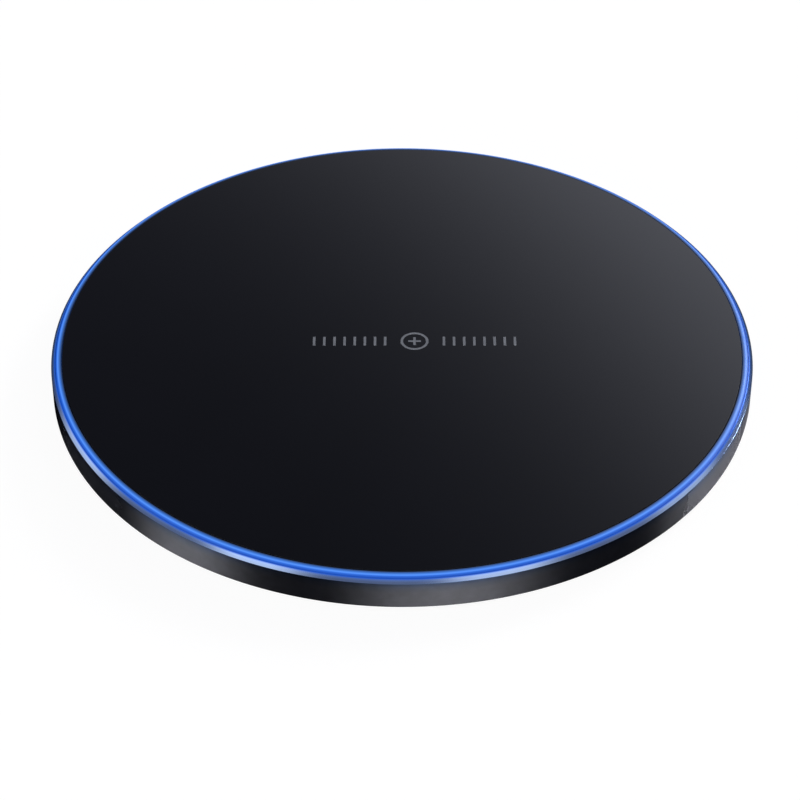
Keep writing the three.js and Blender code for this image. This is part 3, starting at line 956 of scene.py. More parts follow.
@dataclass(frozen=True)
class Studio:
    """Plain pale floor and soft lights on the sky round it."""

    floor_reach: float = 4000.0
    backdrop: str = "FFFFFF"
    fill: tuple[float, float, float] = (0.060, 0.063, 0.092)
    sweep_tint: tuple[float, float, float] = (0.97, 1.0, 1.13)
    sweep_axis: tuple[float, float] = (-47.25, -55.37)
    sweep_place: float = -0.786
    sweep_softness: float = 0.0202
    sweep_radiance: float = 1.69
    sweep_window: SoftBox = SoftBox(82, 38, 70, 40, 22, 1.0)
    paper_glow: float = 0.95
    floor_drop: float = 0.02
    boxes: tuple[SoftBox, ...] = (
        SoftBox(-154, 2, 24, 4, 22, 66.0),
        SoftBox(-77, 2, 36, 4, 34, 66.0),
        SoftBox(10, 2, 30, 4, 22, 46.0),
        SoftBox(46, 24, 20, 12, 10, 26.0),
        SoftBox(160, 16, 24, 18, 16, 0.6),
        SoftBox(-139, 41, 26, 22, 16, 0.7),
        SoftBox(-57, 45, 32, 18, 18, 0.65),
        SoftBox(5, 24, 22, 18, 12, 0.4),
        SoftBox(-90, 40, 220, 60, 30, 0.08),
    )

    def build(self) -> None:
        """Makes the sky and the floor."""
        self.sky()
        self.floor()
        settings = bpy.context.scene.view_settings
        settings.view_transform = "Standard"
        LOG.info("studio")

    def sky(self) -> None:
        """Lights the scene from a world of soft boxes, which the camera sees as plain pale."""
        world = bpy.data.worlds.new("studio")
        bpy.context.scene.world = world
        world.use_nodes = True
        tree = world.node_tree
        tree.nodes.clear()
        towards = add_node(tree, "TexCoord").outputs["Generated"]
        light = self.sweep(tree, towards)
        for box in self.boxes:
            light = self.add_box(tree, towards, light, box)
        lit = add_node(tree, "Background", inputs={"Color": light})
        plain = add_node(tree, "Background", inputs={"Color": linear(self.backdrop)})
        seen = add_node(tree, "LightPath").outputs["Is Camera Ray"]
        mixed = add_node(
            tree, "MixShader", inputs={0: seen, 1: lit.outputs[0], 2: plain.outputs[0]}
        )
        add_node(tree, "OutputWorld", inputs={"Surface": mixed.outputs[0]})

    def sweep(self, tree: Tree, towards: Feed) -> Feed:
        """Lays one broad card behind the pad, shading off slantwise, over an even fill.

        Args:
            tree: the world's nodes.
            towards: the direction that is looked in.

        Returns:
            The light's colour.
        """
        turn, rise = (math.radians(angle) for angle in self.sweep_axis)
        axis = (
            math.cos(rise) * math.cos(turn),
            math.cos(rise) * math.sin(turn),
            math.sin(rise),
        )
        along = add_node(tree, "VectorMath", {"operation": "DOT_PRODUCT"}, {0: towards, 1: axis})
        shifted = add_node(
            tree,
            "MapRange",
            {"clamp": False},
            {
                "Value": along.outputs["Value"],
                "From Min": self.sweep_place,
                "From Max": self.sweep_place + 2 * self.sweep_softness,
            },
        )
        curve = add_node(tree, "Math", {"operation": "TANH"}, {0: shifted.outputs["Result"]})
        share = add_node(
            tree, "MapRange", inputs={"Value": curve.outputs[0], "From Min": -1.0, "From Max": 1.0}
        )
        window = self.window(tree, towards, self.sweep_window)
        both = add_node(
            tree, "Math", {"operation": "MULTIPLY"}, {0: share.outputs["Result"], 1: window}
        )
        card = add_node(
            tree,
            "VectorMath",
            {"operation": "SCALE"},
            {0: tuple(c * self.sweep_radiance for c in self.sweep_tint), "Scale": both.outputs[0]},
        )
        total = add_node(
            tree, "VectorMath", {"operation": "ADD"}, {0: card.outputs[0], 1: self.fill}
        )
        return total.outputs[0]

    def window(self, tree: Tree, towards: Feed, box: SoftBox) -> Feed:
        """Makes a soft-edged patch of sky.

        Args:
            tree: the world's nodes.
            towards: the direction that is looked in.
            box: the patch.

        Returns:
            1 inside the patch and 0 away from it.
        """
        turn = math.radians(box.azimuth)
        ahead, aside = (
            add_node(tree, "VectorMath", {"operation": "DOT_PRODUCT"}, {0: towards, 1: way})
            for way in (
                (math.cos(turn), math.sin(turn), 0.0),
                (-math.sin(turn), math.cos(turn), 0.0),
            )
        )
        angle = add_node(
            tree,
            "Math",
            {"operation": "ARCTAN2"},
            {0: aside.outputs["Value"], 1: ahead.outputs["Value"]},
        )
        height = add_node(tree, "SeparateXYZ", inputs={0: towards}).outputs["Z"]
        rise = add_node(tree, "Math", {"operation": "ARCSINE"}, {0: height})
        offset = add_node(
            tree,
            "Math",
            {"operation": "SUBTRACT"},
            {0: rise.outputs[0], 1: math.radians(box.elevation)},
        )
        shares = []
        for source, size in ((angle, box.width), (offset, box.height)):
            edge = min(box.edge, size)
            distance = add_node(tree, "Math", {"operation": "ABSOLUTE"}, {0: source.outputs[0]})
            share = add_node(
                tree,
                "MapRange",
                {"interpolation_type": "SMOOTHSTEP"},
                {
                    "Value": distance.outputs[0],
                    "From Min": math.radians((size - edge) / 2),
                    "From Max": math.radians((size + edge) / 2),
                    "To Min": 1.0,
                    "To Max": 0.0,
                },
            )
            shares.append(share.outputs["Result"])
        both = add_node(tree, "Math", {"operation": "MULTIPLY"}, {0: shares[0], 1: shares[1]})
        return both.outputs[0]

    def add_box(self, tree: Tree, towards: Feed, light: Feed, box: SoftBox) -> Feed:
        """Adds a soft box to the light so far.

        Args:
            tree: the world's nodes.
            towards: the direction that is looked in.
            light: the light so far.
            box: the soft box.

        Returns:
            The light with the box added.
        """
        strength = [c * box.radiance for c in linear(box.tint)[:3]]
        lamp = add_node(
            tree,
            "VectorMath",
            {"operation": "SCALE"},
            {0: strength, "Scale": self.window(tree, towards, box)},
        )
        total = add_node(
            tree, "VectorMath", {"operation": "ADD"}, {0: light, 1: lamp.outputs[0]}
        )
        return total.outputs[0]

    def floor(self) -> None:
        """Lays a white sheet that shows pale to the camera and gives back a dim grey."""
        form = bmesh.new()
        bmesh.ops.create_circle(form, cap_ends=True, segments=64, radius=self.floor_reach * MM)
        bmesh.ops.translate(form, vec=(0, 0, -self.floor_drop * MM), verts=form.verts)
        mesh = bpy.data.meshes.new("floor")
        form.to_mesh(mesh)
        form.free()
        sheet = bpy.data.objects.new("floor", mesh)
        bpy.context.scene.collection.objects.link(sheet)
        mesh.materials.append(self.paper())

    def paper(self) -> bpy.types.Material:
        """Makes the floor's white paper, which is lit from within so that shadows stay faint.

        Returns:
            The material.
        """
        made = bpy.data.materials.new("Paper_WhiteSheet")
        made.use_nodes = True
        tree = made.node_tree
        tree.nodes.clear()
        glow = {"Color": linear("FFFFFF"), "Strength": self.paper_glow}
        white = add_node(tree, "Emission", inputs=glow)
        lit = add_node(tree, "BsdfDiffuse", inputs={"Color": linear("5A5A5A")})
        both = add_node(tree, "AddShader", inputs={0: white.outputs[0], 1: lit.outputs[0]})
        dim = add_node(tree, "BsdfDiffuse", inputs={"Color": linear("50555C")})
        seen = add_node(tree, "LightPath").outputs["Is Camera Ray"]
        mixed = add_node(tree, "MixShader", inputs={0: seen, 1: dim.outputs[0], 2: both.outputs[0]})
        add_node(tree, "OutputMaterial", inputs={"Surface": mixed.outputs[0]})
        return made


# ---------------------------------------------------------------- glass


@dataclass(frozen=True)
class CoverGlass:
    """The round glass top and the small printed mark in its middle."""

    edge_radius: float = 0.03
    edge_steps: int = 4
    edge_hold: float = 0.02
    print_depth: float = 0.012
    print_drop: float = 0.002
    mark_aside: float = 1.8
    mark_length: float = 29.3
    mark_height: float = 4.0
    ring_sides: int = 48
    stroke: float = 0.36
    cross_share: float = 0.45
    tick_share: float = 0.5
    ring_gap: float = 2.2
    tick_pitch: float = 1.45

    def build(self) -> None:
        """Makes the glass and its mark."""
        reach = Reach.of("top_panel")
        top = reach.high.z - self.print_depth
        radius, bottom = reach.radius, reach.low.z
        outline = [(0, bottom), (radius, bottom), (radius, top), (0, top)]
        form = spun(outline, closed=False, hold=self.edge_radius + self.edge_hold)
        rounded = hoops(form, [(radius, bottom), (radius, top)])
        ease(form, rounded, self.edge_radius, self.edge_steps)
        for face in form.faces:
            middle = face.calc_center_median()
            at_edge = math.hypot(middle.x, middle.y) > radius - self.edge_radius
            face.material_index = 1 if at_edge else 0
        finishes = [GLASS, GROUND_EDGE]
        settle("cover_glass", form, finishes, ["top_panel"], smooth=50)
        settle("centre_mark", self.mark(top, reach.high.z - self.print_drop), [INK])

    def mark(self, bottom: float, top: float) -> Form:
        """Prints a ring with a cross in it, and a row of plain ticks on each side.

        Args:
            bottom: the ink's lower level, in mm.
            top: its upper level.

        Returns:
            The mark's mesh.
        """
        outer = self.mark_height / 2
        inner = outer - self.stroke
        rows = [(inner, bottom), (outer, bottom), (outer, top), (inner, top)]
        parts = [spun(rows, self.ring_sides)]
        arm, half = outer * self.cross_share, self.stroke / 2
        parts.append(self.bar(arm, half, bottom, top))
        parts.append(self.bar(half, arm, bottom, top, cut=True))
        first = outer + self.ring_gap
        count = int((self.mark_length / 2 - first) / self.tick_pitch) + 1
        for side in (-1, 1):
            for number in range(count):
                tick = self.bar(half, outer * self.tick_share, bottom, top)
                middle = side * (first + number * self.tick_pitch)
                parts.append(placed(tick, Matrix.Translation((middle, 0, 0))))
        return placed(together(*parts), Matrix.Translation((self.mark_aside, 0, 0)))

    def bar(
        self, half_width: float, half_depth: float, bottom: float, top: float, cut: bool = False
    ) -> Form:
        """Makes one printed bar.

        Args:
            half_width: half its size along X, in mm.
            half_depth: half its size along Y.
            bottom: its lower level.
            top: its upper level.
            cut: whether its middle is left out, for the bar that crosses it.

        Returns:
            The bar's mesh.
        """
        low, high = (-half_width, -half_depth, bottom), (half_width, half_depth, top)
        if not cut:
            return block(low, high)
        gap = half_width
        front = block(low, (half_width, -gap, top))
        return together(front, block((-half_width, gap, bottom), high))


# ---------------------------------------------------------------- rim, light ring


class RimFinish(Enum):
    """Which finish number a face of the rim carries."""

    WALL = 0
    CHAMFER = 1


@dataclass(frozen=True)
class LightRing:
    """The lit ring let in between the glass and the rim, with its ledge and its lamp wall."""

    width: float = 0.94
    gap: float = 0.08
    dip: float = 0.06
    crown: float = 0.12
    crown_steps: int = 9
    flange: float = 0.4
    skirt: float = 1.2
    skirt_set_back: float = 1.77
    lug_reach: float = 4.0
    tape_room: float = 0.14
    lug_half_width: float = 2.7
    socket_margin: float = 0.3

    def build(self) -> None:
        """Makes the ring in one piece."""
        ring, shell, panel = (Reach.of(n) for n in ("light_guide_ring", "usb_shell", "top_panel"))
        rim = Reach.of("rim_frame")
        outer = ring.radius
        inner = outer - self.width + self.gap
        crown = self.crown_outline(inner, panel.high.z - self.dip, outer, rim.high.z)
        flange_top = panel.low.z - self.tape_room
        flange_bottom = flange_top - self.flange
        skirt_outer = outer - self.skirt_set_back
        skirt_inner = skirt_outer - self.skirt
        outline = [
            (skirt_inner, ring.low.z),
            (skirt_outer, ring.low.z),
            (skirt_outer, flange_bottom),
            (outer, flange_bottom),
            *crown,
            (inner, flange_top),
            (skirt_inner, flange_top),
        ]
        form = spun(outline)
        far, low = outer + 2 * OVERRUN, ring.low.z - OVERRUN
        tools = []
        for corner in range(CORNERS):
            slab = block(
                (skirt_inner - self.lug_reach, -self.lug_half_width, low),
                (far, self.lug_half_width, flange_bottom),
            )
            tools.append(placed(slab, corner_turn(corner)))
        half = shell.high.x + self.socket_margin
        tools.append(block((-half, shell.low.y, low), (half, far, flange_bottom)))
        form = carve(form, tools)
        settle("light_ring", form, [OPAL], ["light_guide_ring"], smooth=40)

    def crown_outline(self, inner: float, high: float, outer: float, low: float) -> Outline:
        """Bulges the face that shows, from its outer foot up to its inner edge.

        Args:
            inner: the inner edge's radius, in mm.
            high: its level.
            outer: the outer edge's radius.
            low: its level.

        Returns:
            The corners of the outline.
        """
        start, end = Vector((outer, low)), Vector((inner, high))
        away = Vector((high - low, outer - inner)).normalized()
        points = []
        for step in range(self.crown_steps + 1):
            share = step / self.crown_steps
            rise = 4 * share * (1 - share) * self.crown
            points.append(tuple(start.lerp(end, share) + away * rise))
        return points


@dataclass(frozen=True)
class Rim:
    """The turned aluminium rim with its polished chamfer, its lugs and the socket's opening."""

    wall: float = 2.25
    chamfer: float = 0.54
    lower_chamfer: float = 0.3
    land: float = 0.04
    ledge_drop: float = 0.91
    easing: float = 0.03
    paint_margin: float = 0.01
    paint_slope: float = 0.1
    lug_radius: float = 2.4
    lug_circle: float = 43.3
    lug_bottom: float = 2.47
    hole_radius: float = 0.9
    hole_top: float = 3.72
    slot_half_width: float = 4.163
    slot_half_height: float = 1.405
    slot_corner: float = 0.7
    slot_corner_steps: int = 8
    mouth_easing: float = 0.12
    mouth_angle: float = 0.6
    mouth_depth: float = 0.3
    mouth_slack: float = 0.02
    mouth_margin: float = 0.05

    def build(self) -> None:
        """Makes the rim in one piece with two finishes."""
        reach = Reach.of("rim_frame")
        radius, bottom, top = reach.radius, reach.low.z, reach.high.z
        inner = radius - self.wall
        pocket = radius - self.chamfer - self.land
        ledge = top - self.ledge_drop
        form = spun(
            [
                (inner, bottom),
                (radius - self.lower_chamfer, bottom),
                (radius, bottom + self.lower_chamfer),
                (radius, top - self.chamfer),
                (radius - self.chamfer, top),
                (pocket, top),
                (pocket, ledge),
                (inner, ledge),
            ],
            hold=self.easing * 3,
        )
        lugs = [self.lug(inner + self.wall / 4, ledge, corner) for corner in range(CORNERS)]
        form = carve(form, lugs, "UNION")
        form = carve(form, [self.socket_tool(radius)])
        self.ease_mouth(form, radius)
        eased = hoops(form, [(radius, top - self.chamfer), (radius - self.chamfer, top)])
        ease(form, eased, self.easing)
        soft = hoops(
            form, [(radius, bottom + self.lower_chamfer), (radius - self.lower_chamfer, bottom)]
        )
        ease(form, soft, self.easing * 2)
        self.paint(form, radius, top)
        settle("rim", form, [ANODISED, DIAMOND_CUT], ["rim_frame"], smooth=25)

    def lug(self, root: float, top: float, corner: int) -> Form:
        """Makes one screw lug with its hole.

        Args:
            root: the radius that it reaches out to, in mm.
            top: its upper level.
            corner: its number round the rim.

        Returns:
            The lug's mesh.
        """
        low = (self.lug_circle, -self.lug_radius, self.lug_bottom)
        arm = block(low, (root, self.lug_radius, top))
        nose = round_post(self.lug_radius, self.lug_bottom, top, self.lug_circle)
        start = self.lug_bottom - OVERRUN
        hole = round_post(self.hole_radius, start, self.hole_top, self.lug_circle)
        return placed(carve(carve(arm, [nose], "UNION"), [hole]), corner_turn(corner))

    def socket_tool(self, radius: float) -> Form:
        """Makes the cutter for the socket's opening, with round corners.

        Args:
            radius: the rim's radius, in mm.

        Returns:
            The cutter.
        """
        shell = Reach.of("usb_shell")
        height = shell.middle.z
        form = block(
            (-self.slot_half_width, shell.low.y, height - self.slot_half_height),
            (self.slot_half_width, radius + 2 * OVERRUN, height + self.slot_half_height),
        )
        ease(form, edges_along_y(form), self.slot_corner, self.slot_corner_steps)
        return form

    def ease_mouth(self, form: Form, radius: float) -> None:
        """Rounds the edge where the socket's opening meets the wall.

        Args:
            form: the rim's mesh.
            radius: its radius, in mm.
        """
        edges = [edge for edge in form.edges if self.at_mouth(edge, radius)]
        ease(form, edges, self.mouth_easing, 3)

    def at_mouth(self, edge: bmesh.types.BMEdge, radius: float) -> bool:
        """Tells whether an edge runs where the opening's upright faces meet the wall.

        Args:
            edge: an edge of the rim.
            radius: the rim's radius, in mm.

        Returns:
            True for an edge of the mouth.
        """
        if not edge.is_manifold or edge.calc_face_angle(0) <= self.mouth_angle:
            return False
        for vert in edge.verts:
            on_wall = math.hypot(vert.co.x, vert.co.y) > radius - self.mouth_slack
            near = abs(vert.co.x) < self.slot_half_width + self.mouth_margin
            if not (on_wall and near and vert.co.y > 0):
                return False
        return any(
            math.hypot(face.normal.x, face.normal.y) > 0
            and abs(face.calc_center_median().y) < radius - self.mouth_depth
            for face in edge.link_faces
        )

    def paint(self, form: Form, radius: float, top: float) -> None:
        """Numbers the polished faces.

        Args:
            form: the rim's mesh.
            radius: its radius, in mm.
            top: its upper level.
        """
        for face in form.faces:
            middle = face.calc_center_median()
            reach = math.hypot(middle.x, middle.y)
            polished = (
                middle.z > top - self.chamfer + self.paint_margin
                and reach > radius - self.chamfer - self.land
                and face.normal.z > self.paint_slope
            )
            face.material_index = (RimFinish.CHAMFER if polished else RimFinish.WALL).value


# ---------------------------------------------------------------- base, feet, screws


@dataclass(frozen=True)
class Base:
    """The moulded base, with the recesses that hold the feet."""

    chamfer: float = 0.156
    floor: float = 1.6
    spigot_outer: float = 47.6
    spigot_inner: float = 46.0
    spigot_top: float = 2.4
    step: float = 0.74
    easing: float = 0.05
    recess_gap: float = 0.15
    recess_top: float = 1.02
    recess_sides: int = 64

    def build(self) -> None:
        """Makes the base."""
        reach = Reach.of("base_cover")
        radius, bottom = reach.radius, reach.low.z
        form = spun(
            [
                (0, bottom),
                (radius - self.chamfer, bottom),
                (radius, bottom + self.chamfer),
                (radius, self.step),
                (self.spigot_outer, self.step),
                (self.spigot_outer, self.spigot_top),
                (self.spigot_inner, self.spigot_top),
                (self.spigot_inner, self.floor),
                (0, self.floor),
            ],
            closed=False,
            hold=self.easing * 1.3,
        )
        rounded = [(radius - self.chamfer, bottom), (radius, bottom + self.chamfer)]
        ease(form, hoops(form, rounded), self.easing)
        tools = []
        for number in range(1, CORNERS + 1):
            foot = Reach.of(f"foot_pad_{number}")
            size, spot = foot.radius + self.recess_gap, foot.middle
            recess = round_post(size, -OVERRUN, self.recess_top, spot.x, spot.y, self.recess_sides)
            tools.append(recess)
        settle("base", carve(form, tools), [MOULDED], ["base_cover"])


@dataclass(frozen=True)
class Foot:
    """One round foot, with fine grooves in the face that rests."""

    grooves: tuple[float, ...] = (1.3, 2.2, 3.1)
    groove: float = 0.07
    lower_easing: float = 0.25
    upper_easing: float = 0.08
    sides: int = 72

    def build(self, number: int) -> None:
        """Makes the foot.

        Args:
            number: its number.
        """
        name = f"foot_pad_{number}"
        reach = Reach.of(name)
        radius, bottom, top = reach.radius, reach.low.z, reach.high.z
        outline = [(0.0, bottom)]
        for middle in self.grooves:
            half = self.groove
            outline += [(middle - half, bottom), (middle, bottom + half), (middle + half, bottom)]
        outline += [(radius, bottom), (radius, top), (0.0, top)]
        form = spun(outline, self.sides, closed=False)
        ease(form, hoops(form, [(radius, bottom)]), self.lower_easing, 4)
        ease(form, hoops(form, [(radius, top)]), self.upper_easing, 2)
        placed(form, Matrix.Translation((reach.middle.x, reach.middle.y, 0)))
        settle(f"foot_{number}", form, [SILICONE], [name])


@dataclass(frozen=True)
class Screw:
    """One screw of the base: a low head with a cross recess, and a threaded shank."""

    head: float = 0.45
    head_easing: float = 0.12
    shank: float = 0.8
    thread: float = 0.1
    flank: float = 0.1
    pitch: float = 0.3
    tip: float = 0.45
    tip_radius: float = 0.3
    cross_arm: float = 1.0
    cross_half_width: float = 0.16
    cross_depth: float = 0.25
    sides: int = 32

    def build(self, number: int) -> None:
        """Makes the screw.

        Args:
            number: its number.
        """
        name = f"base_screw_{number}"
        reach = Reach.of(name)
        radius, bottom, end = reach.radius, reach.low.z, reach.high.z
        head_top, root = bottom + self.head, self.shank - self.thread
        outline = [(0.0, bottom), (radius, bottom), (radius, head_top), (root, head_top)]
        height = head_top + self.flank
        while height < end - self.tip:
            crest = (self.shank, height + self.flank)
            outline += [(root, height), crest, (root, height + 2 * self.flank)]
            height += self.pitch
        outline += [(root, height), (self.tip_radius, end), (0.0, end)]
        form = spun(outline, self.sides, closed=False)
        ease(form, hoops(form, [(radius, bottom), (radius, head_top)]), self.head_easing, 2)
        arm, half, top = self.cross_arm, self.cross_half_width, bottom + self.cross_depth
        cuts = [
            block((-x, -y, bottom - OVERRUN), (x, y, top)) for x, y in ((arm, half), (half, arm))
        ]
        form = placed(carve(form, cuts), Matrix.Translation((reach.middle.x, reach.middle.y, 0)))
        settle(f"screw_{number}", form, [ZINC_STEEL], [name])


# ---------------------------------------------------------------- socket


@dataclass(frozen=True)
class Socket:
    """The supply socket: a folded steel shell round a plastic tongue with five contacts."""

    wall: float = 0.3
    bevel_width: float = 1.1
    bevel_height: float = 0.75
    corner: float = 0.28
    lip: float = 0.07
    insert_gap: float = 0.05
    insert_depth: float = 1.5
    joint_overlap: float = 0.05
    tongue_width: float = 3.8
    tongue_thickness: float = 0.6
    tongue_set_back: float = 0.7
    tongue_easing: float = 0.08
    contacts: int = 5
    contact_width: float = 0.36
    contact_rise: float = 0.04
    contact_set_back: float = 0.35
    contact_easing: float = 0.03
    contact_margin: float = 0.4
    smallest_corner: float = 0.1

    def build(self) -> None:
        """Makes the shell and the insert."""
        reach = Reach.of("usb_shell")
        form = self.prism(reach, 0.0, reach.low.y, reach.high.y)
        back, front = reach.low.y - OVERRUN, reach.high.y + OVERRUN
        form = carve(form, [self.prism(reach, self.wall, back, front)])
        mouth = [
            edge
            for edge in sharp_edges(form)
            if all(abs(vert.co.y - reach.high.y) < 0.01 for vert in edge.verts)
        ]
        ease(form, mouth, self.lip, 2)
        settle("socket_shell", form, [NICKEL_STEEL], ["usb_shell"])
        finishes = [CONTACT_BLOCK, GOLD_FLASH]
        settle("socket_insert", self.insert(reach), finishes, ["usb_insert"])

    def prism(self, reach: Reach, margin: float, back: float, front: float) -> Form:
        """Makes a rod of the socket's outline, with round corners.

        Args:
            reach: the shell's box.
            margin: how far the outline is drawn in, in mm.
            back: where the rod begins along Y.
            front: where it ends.

        Returns:
            The rod.
        """
        side, top, bottom = reach.high.x - margin, reach.high.z - margin, reach.low.z + margin
        foot = reach.high.x - self.bevel_width - margin / 2
        rise = reach.low.z + self.bevel_height + margin / 2
        half = [(foot, bottom), (side, rise), (side, top)]
        corners = [(-x, z) for x, z in reversed(half)] + half
        rod = prism([(x, back, z) for x, z in corners], (0, front - back, 0))
        ease(rod, edges_along_y(rod), max(self.corner - margin / 2, self.smallest_corner), 3)
        return rod

    def insert(self, reach: Reach) -> Form:
        """Makes the plastic block, its tongue and the contacts on it.

        Args:
            reach: the shell's box.

        Returns:
            The insert's mesh.
        """
        back = reach.low.y
        margin = self.wall + self.insert_gap
        rear = painted(self.prism(reach, margin, back, back + self.insert_depth), 0)
        half, middle = self.tongue_width / 2, reach.middle.z
        tip = reach.high.y - self.tongue_set_back
        thick = self.tongue_thickness / 2
        root, under = back + self.insert_depth - self.joint_overlap, middle - thick
        tongue = block((-half, root, under), (half, tip, middle + thick), self.tongue_easing)
        parts = [rear, painted(tongue, 0)]
        pitch = self.tongue_width / (self.contacts + self.contact_margin)
        for number in range(self.contacts):
            x = (number - (self.contacts - 1) / 2) * pitch
            left, right = x - self.contact_width / 2, x + self.contact_width / 2
            strip = block(
                (left, root, under - self.contact_rise),
                (right, tip - self.contact_set_back, under + self.joint_overlap),
                self.contact_easing,
            )
            parts.append(painted(strip, 1))
        return together(*parts)


# ---------------------------------------------------------------- coil


@dataclass(frozen=True)
class Coil:
    """The flat wound coil and its leads, with the shield and the tray under it."""

    turns: int = 10
    steps: int = 72
    squeeze: float = 0.02
    tray_wall: float = 0.9
    tray_wall_height: float = 0.6
    tray_gap: float = 3.68
    tray_easing: float = 0.1
    tray_sides: int = 96

    def build(self) -> None:
        """Makes the winding, the leads, the probe, the shield and the tray."""
        settle("coil", self.winding(), [LITZ], ["coil_winding"], smooth=60)
        for end in ("inner", "outer"):
            node = f"coil_lead_{end}"
            form = merged_copy(node)
            settle(f"coil_end_{end}", form, [ENAMELLED], [node], smooth=60)
        form = merged_copy("thermistor")
        settle("heat_probe", form, [DIPPED], ["thermistor"], smooth=60)
        redress("ferrite_shield", SINTERED)
        settle("coil_tray", self.tray(), [NYLON], ["coil_carrier"])

    def winding(self) -> Form:
        """Winds one layer of wire outwards from the coil's hole.

        Returns:
            The coil's mesh.
        """
        reach = Reach.of("coil_winding")
        size = (reach.high.z - reach.low.z) / 2 - self.squeeze
        start = hole_radius("coil_winding") + size
        end = reach.radius - size - self.squeeze
        points = []
        for step in range(self.turns * self.steps + 1):
            share = step / (self.turns * self.steps)
            turn = FULL_TURN * self.turns * share - math.pi / 2
            distance = start + (end - start) * share
            x, y = distance * math.cos(turn), distance * math.sin(turn)
            points.append(Vector((x, y, reach.middle.z)))
        return tube(points, size)

    def tray(self) -> Form:
        """Makes the tray, open towards the front for the leads.

        Returns:
            The tray's mesh.
        """
        reach = Reach.of("coil_carrier")
        outer, inner = reach.radius, reach.radius - self.tray_wall
        bottom, top = reach.low.z, reach.high.z
        floor = top - self.tray_wall_height
        corners = [(outer, bottom), (outer, top), (inner, top)]
        outline = [(0, bottom), *corners, (inner, floor), (0, floor)]
        form = spun(outline, self.tray_sides, closed=False)
        ease(form, hoops(form, corners), self.tray_easing)
        front = (-self.tray_gap, -outer - OVERRUN, floor)
        return carve(form, [block(front, (self.tray_gap, 0, top + OVERRUN))])


# ---------------------------------------------------------------- circuit board


class Package(Enum):
    """The kinds of part that sit on the board."""

    CHIP = "chip"
    CAPACITOR = "capacitor"
    RESISTOR = "resistor"
    INDUCTOR = "inductor"
    LAMP = "lamp"


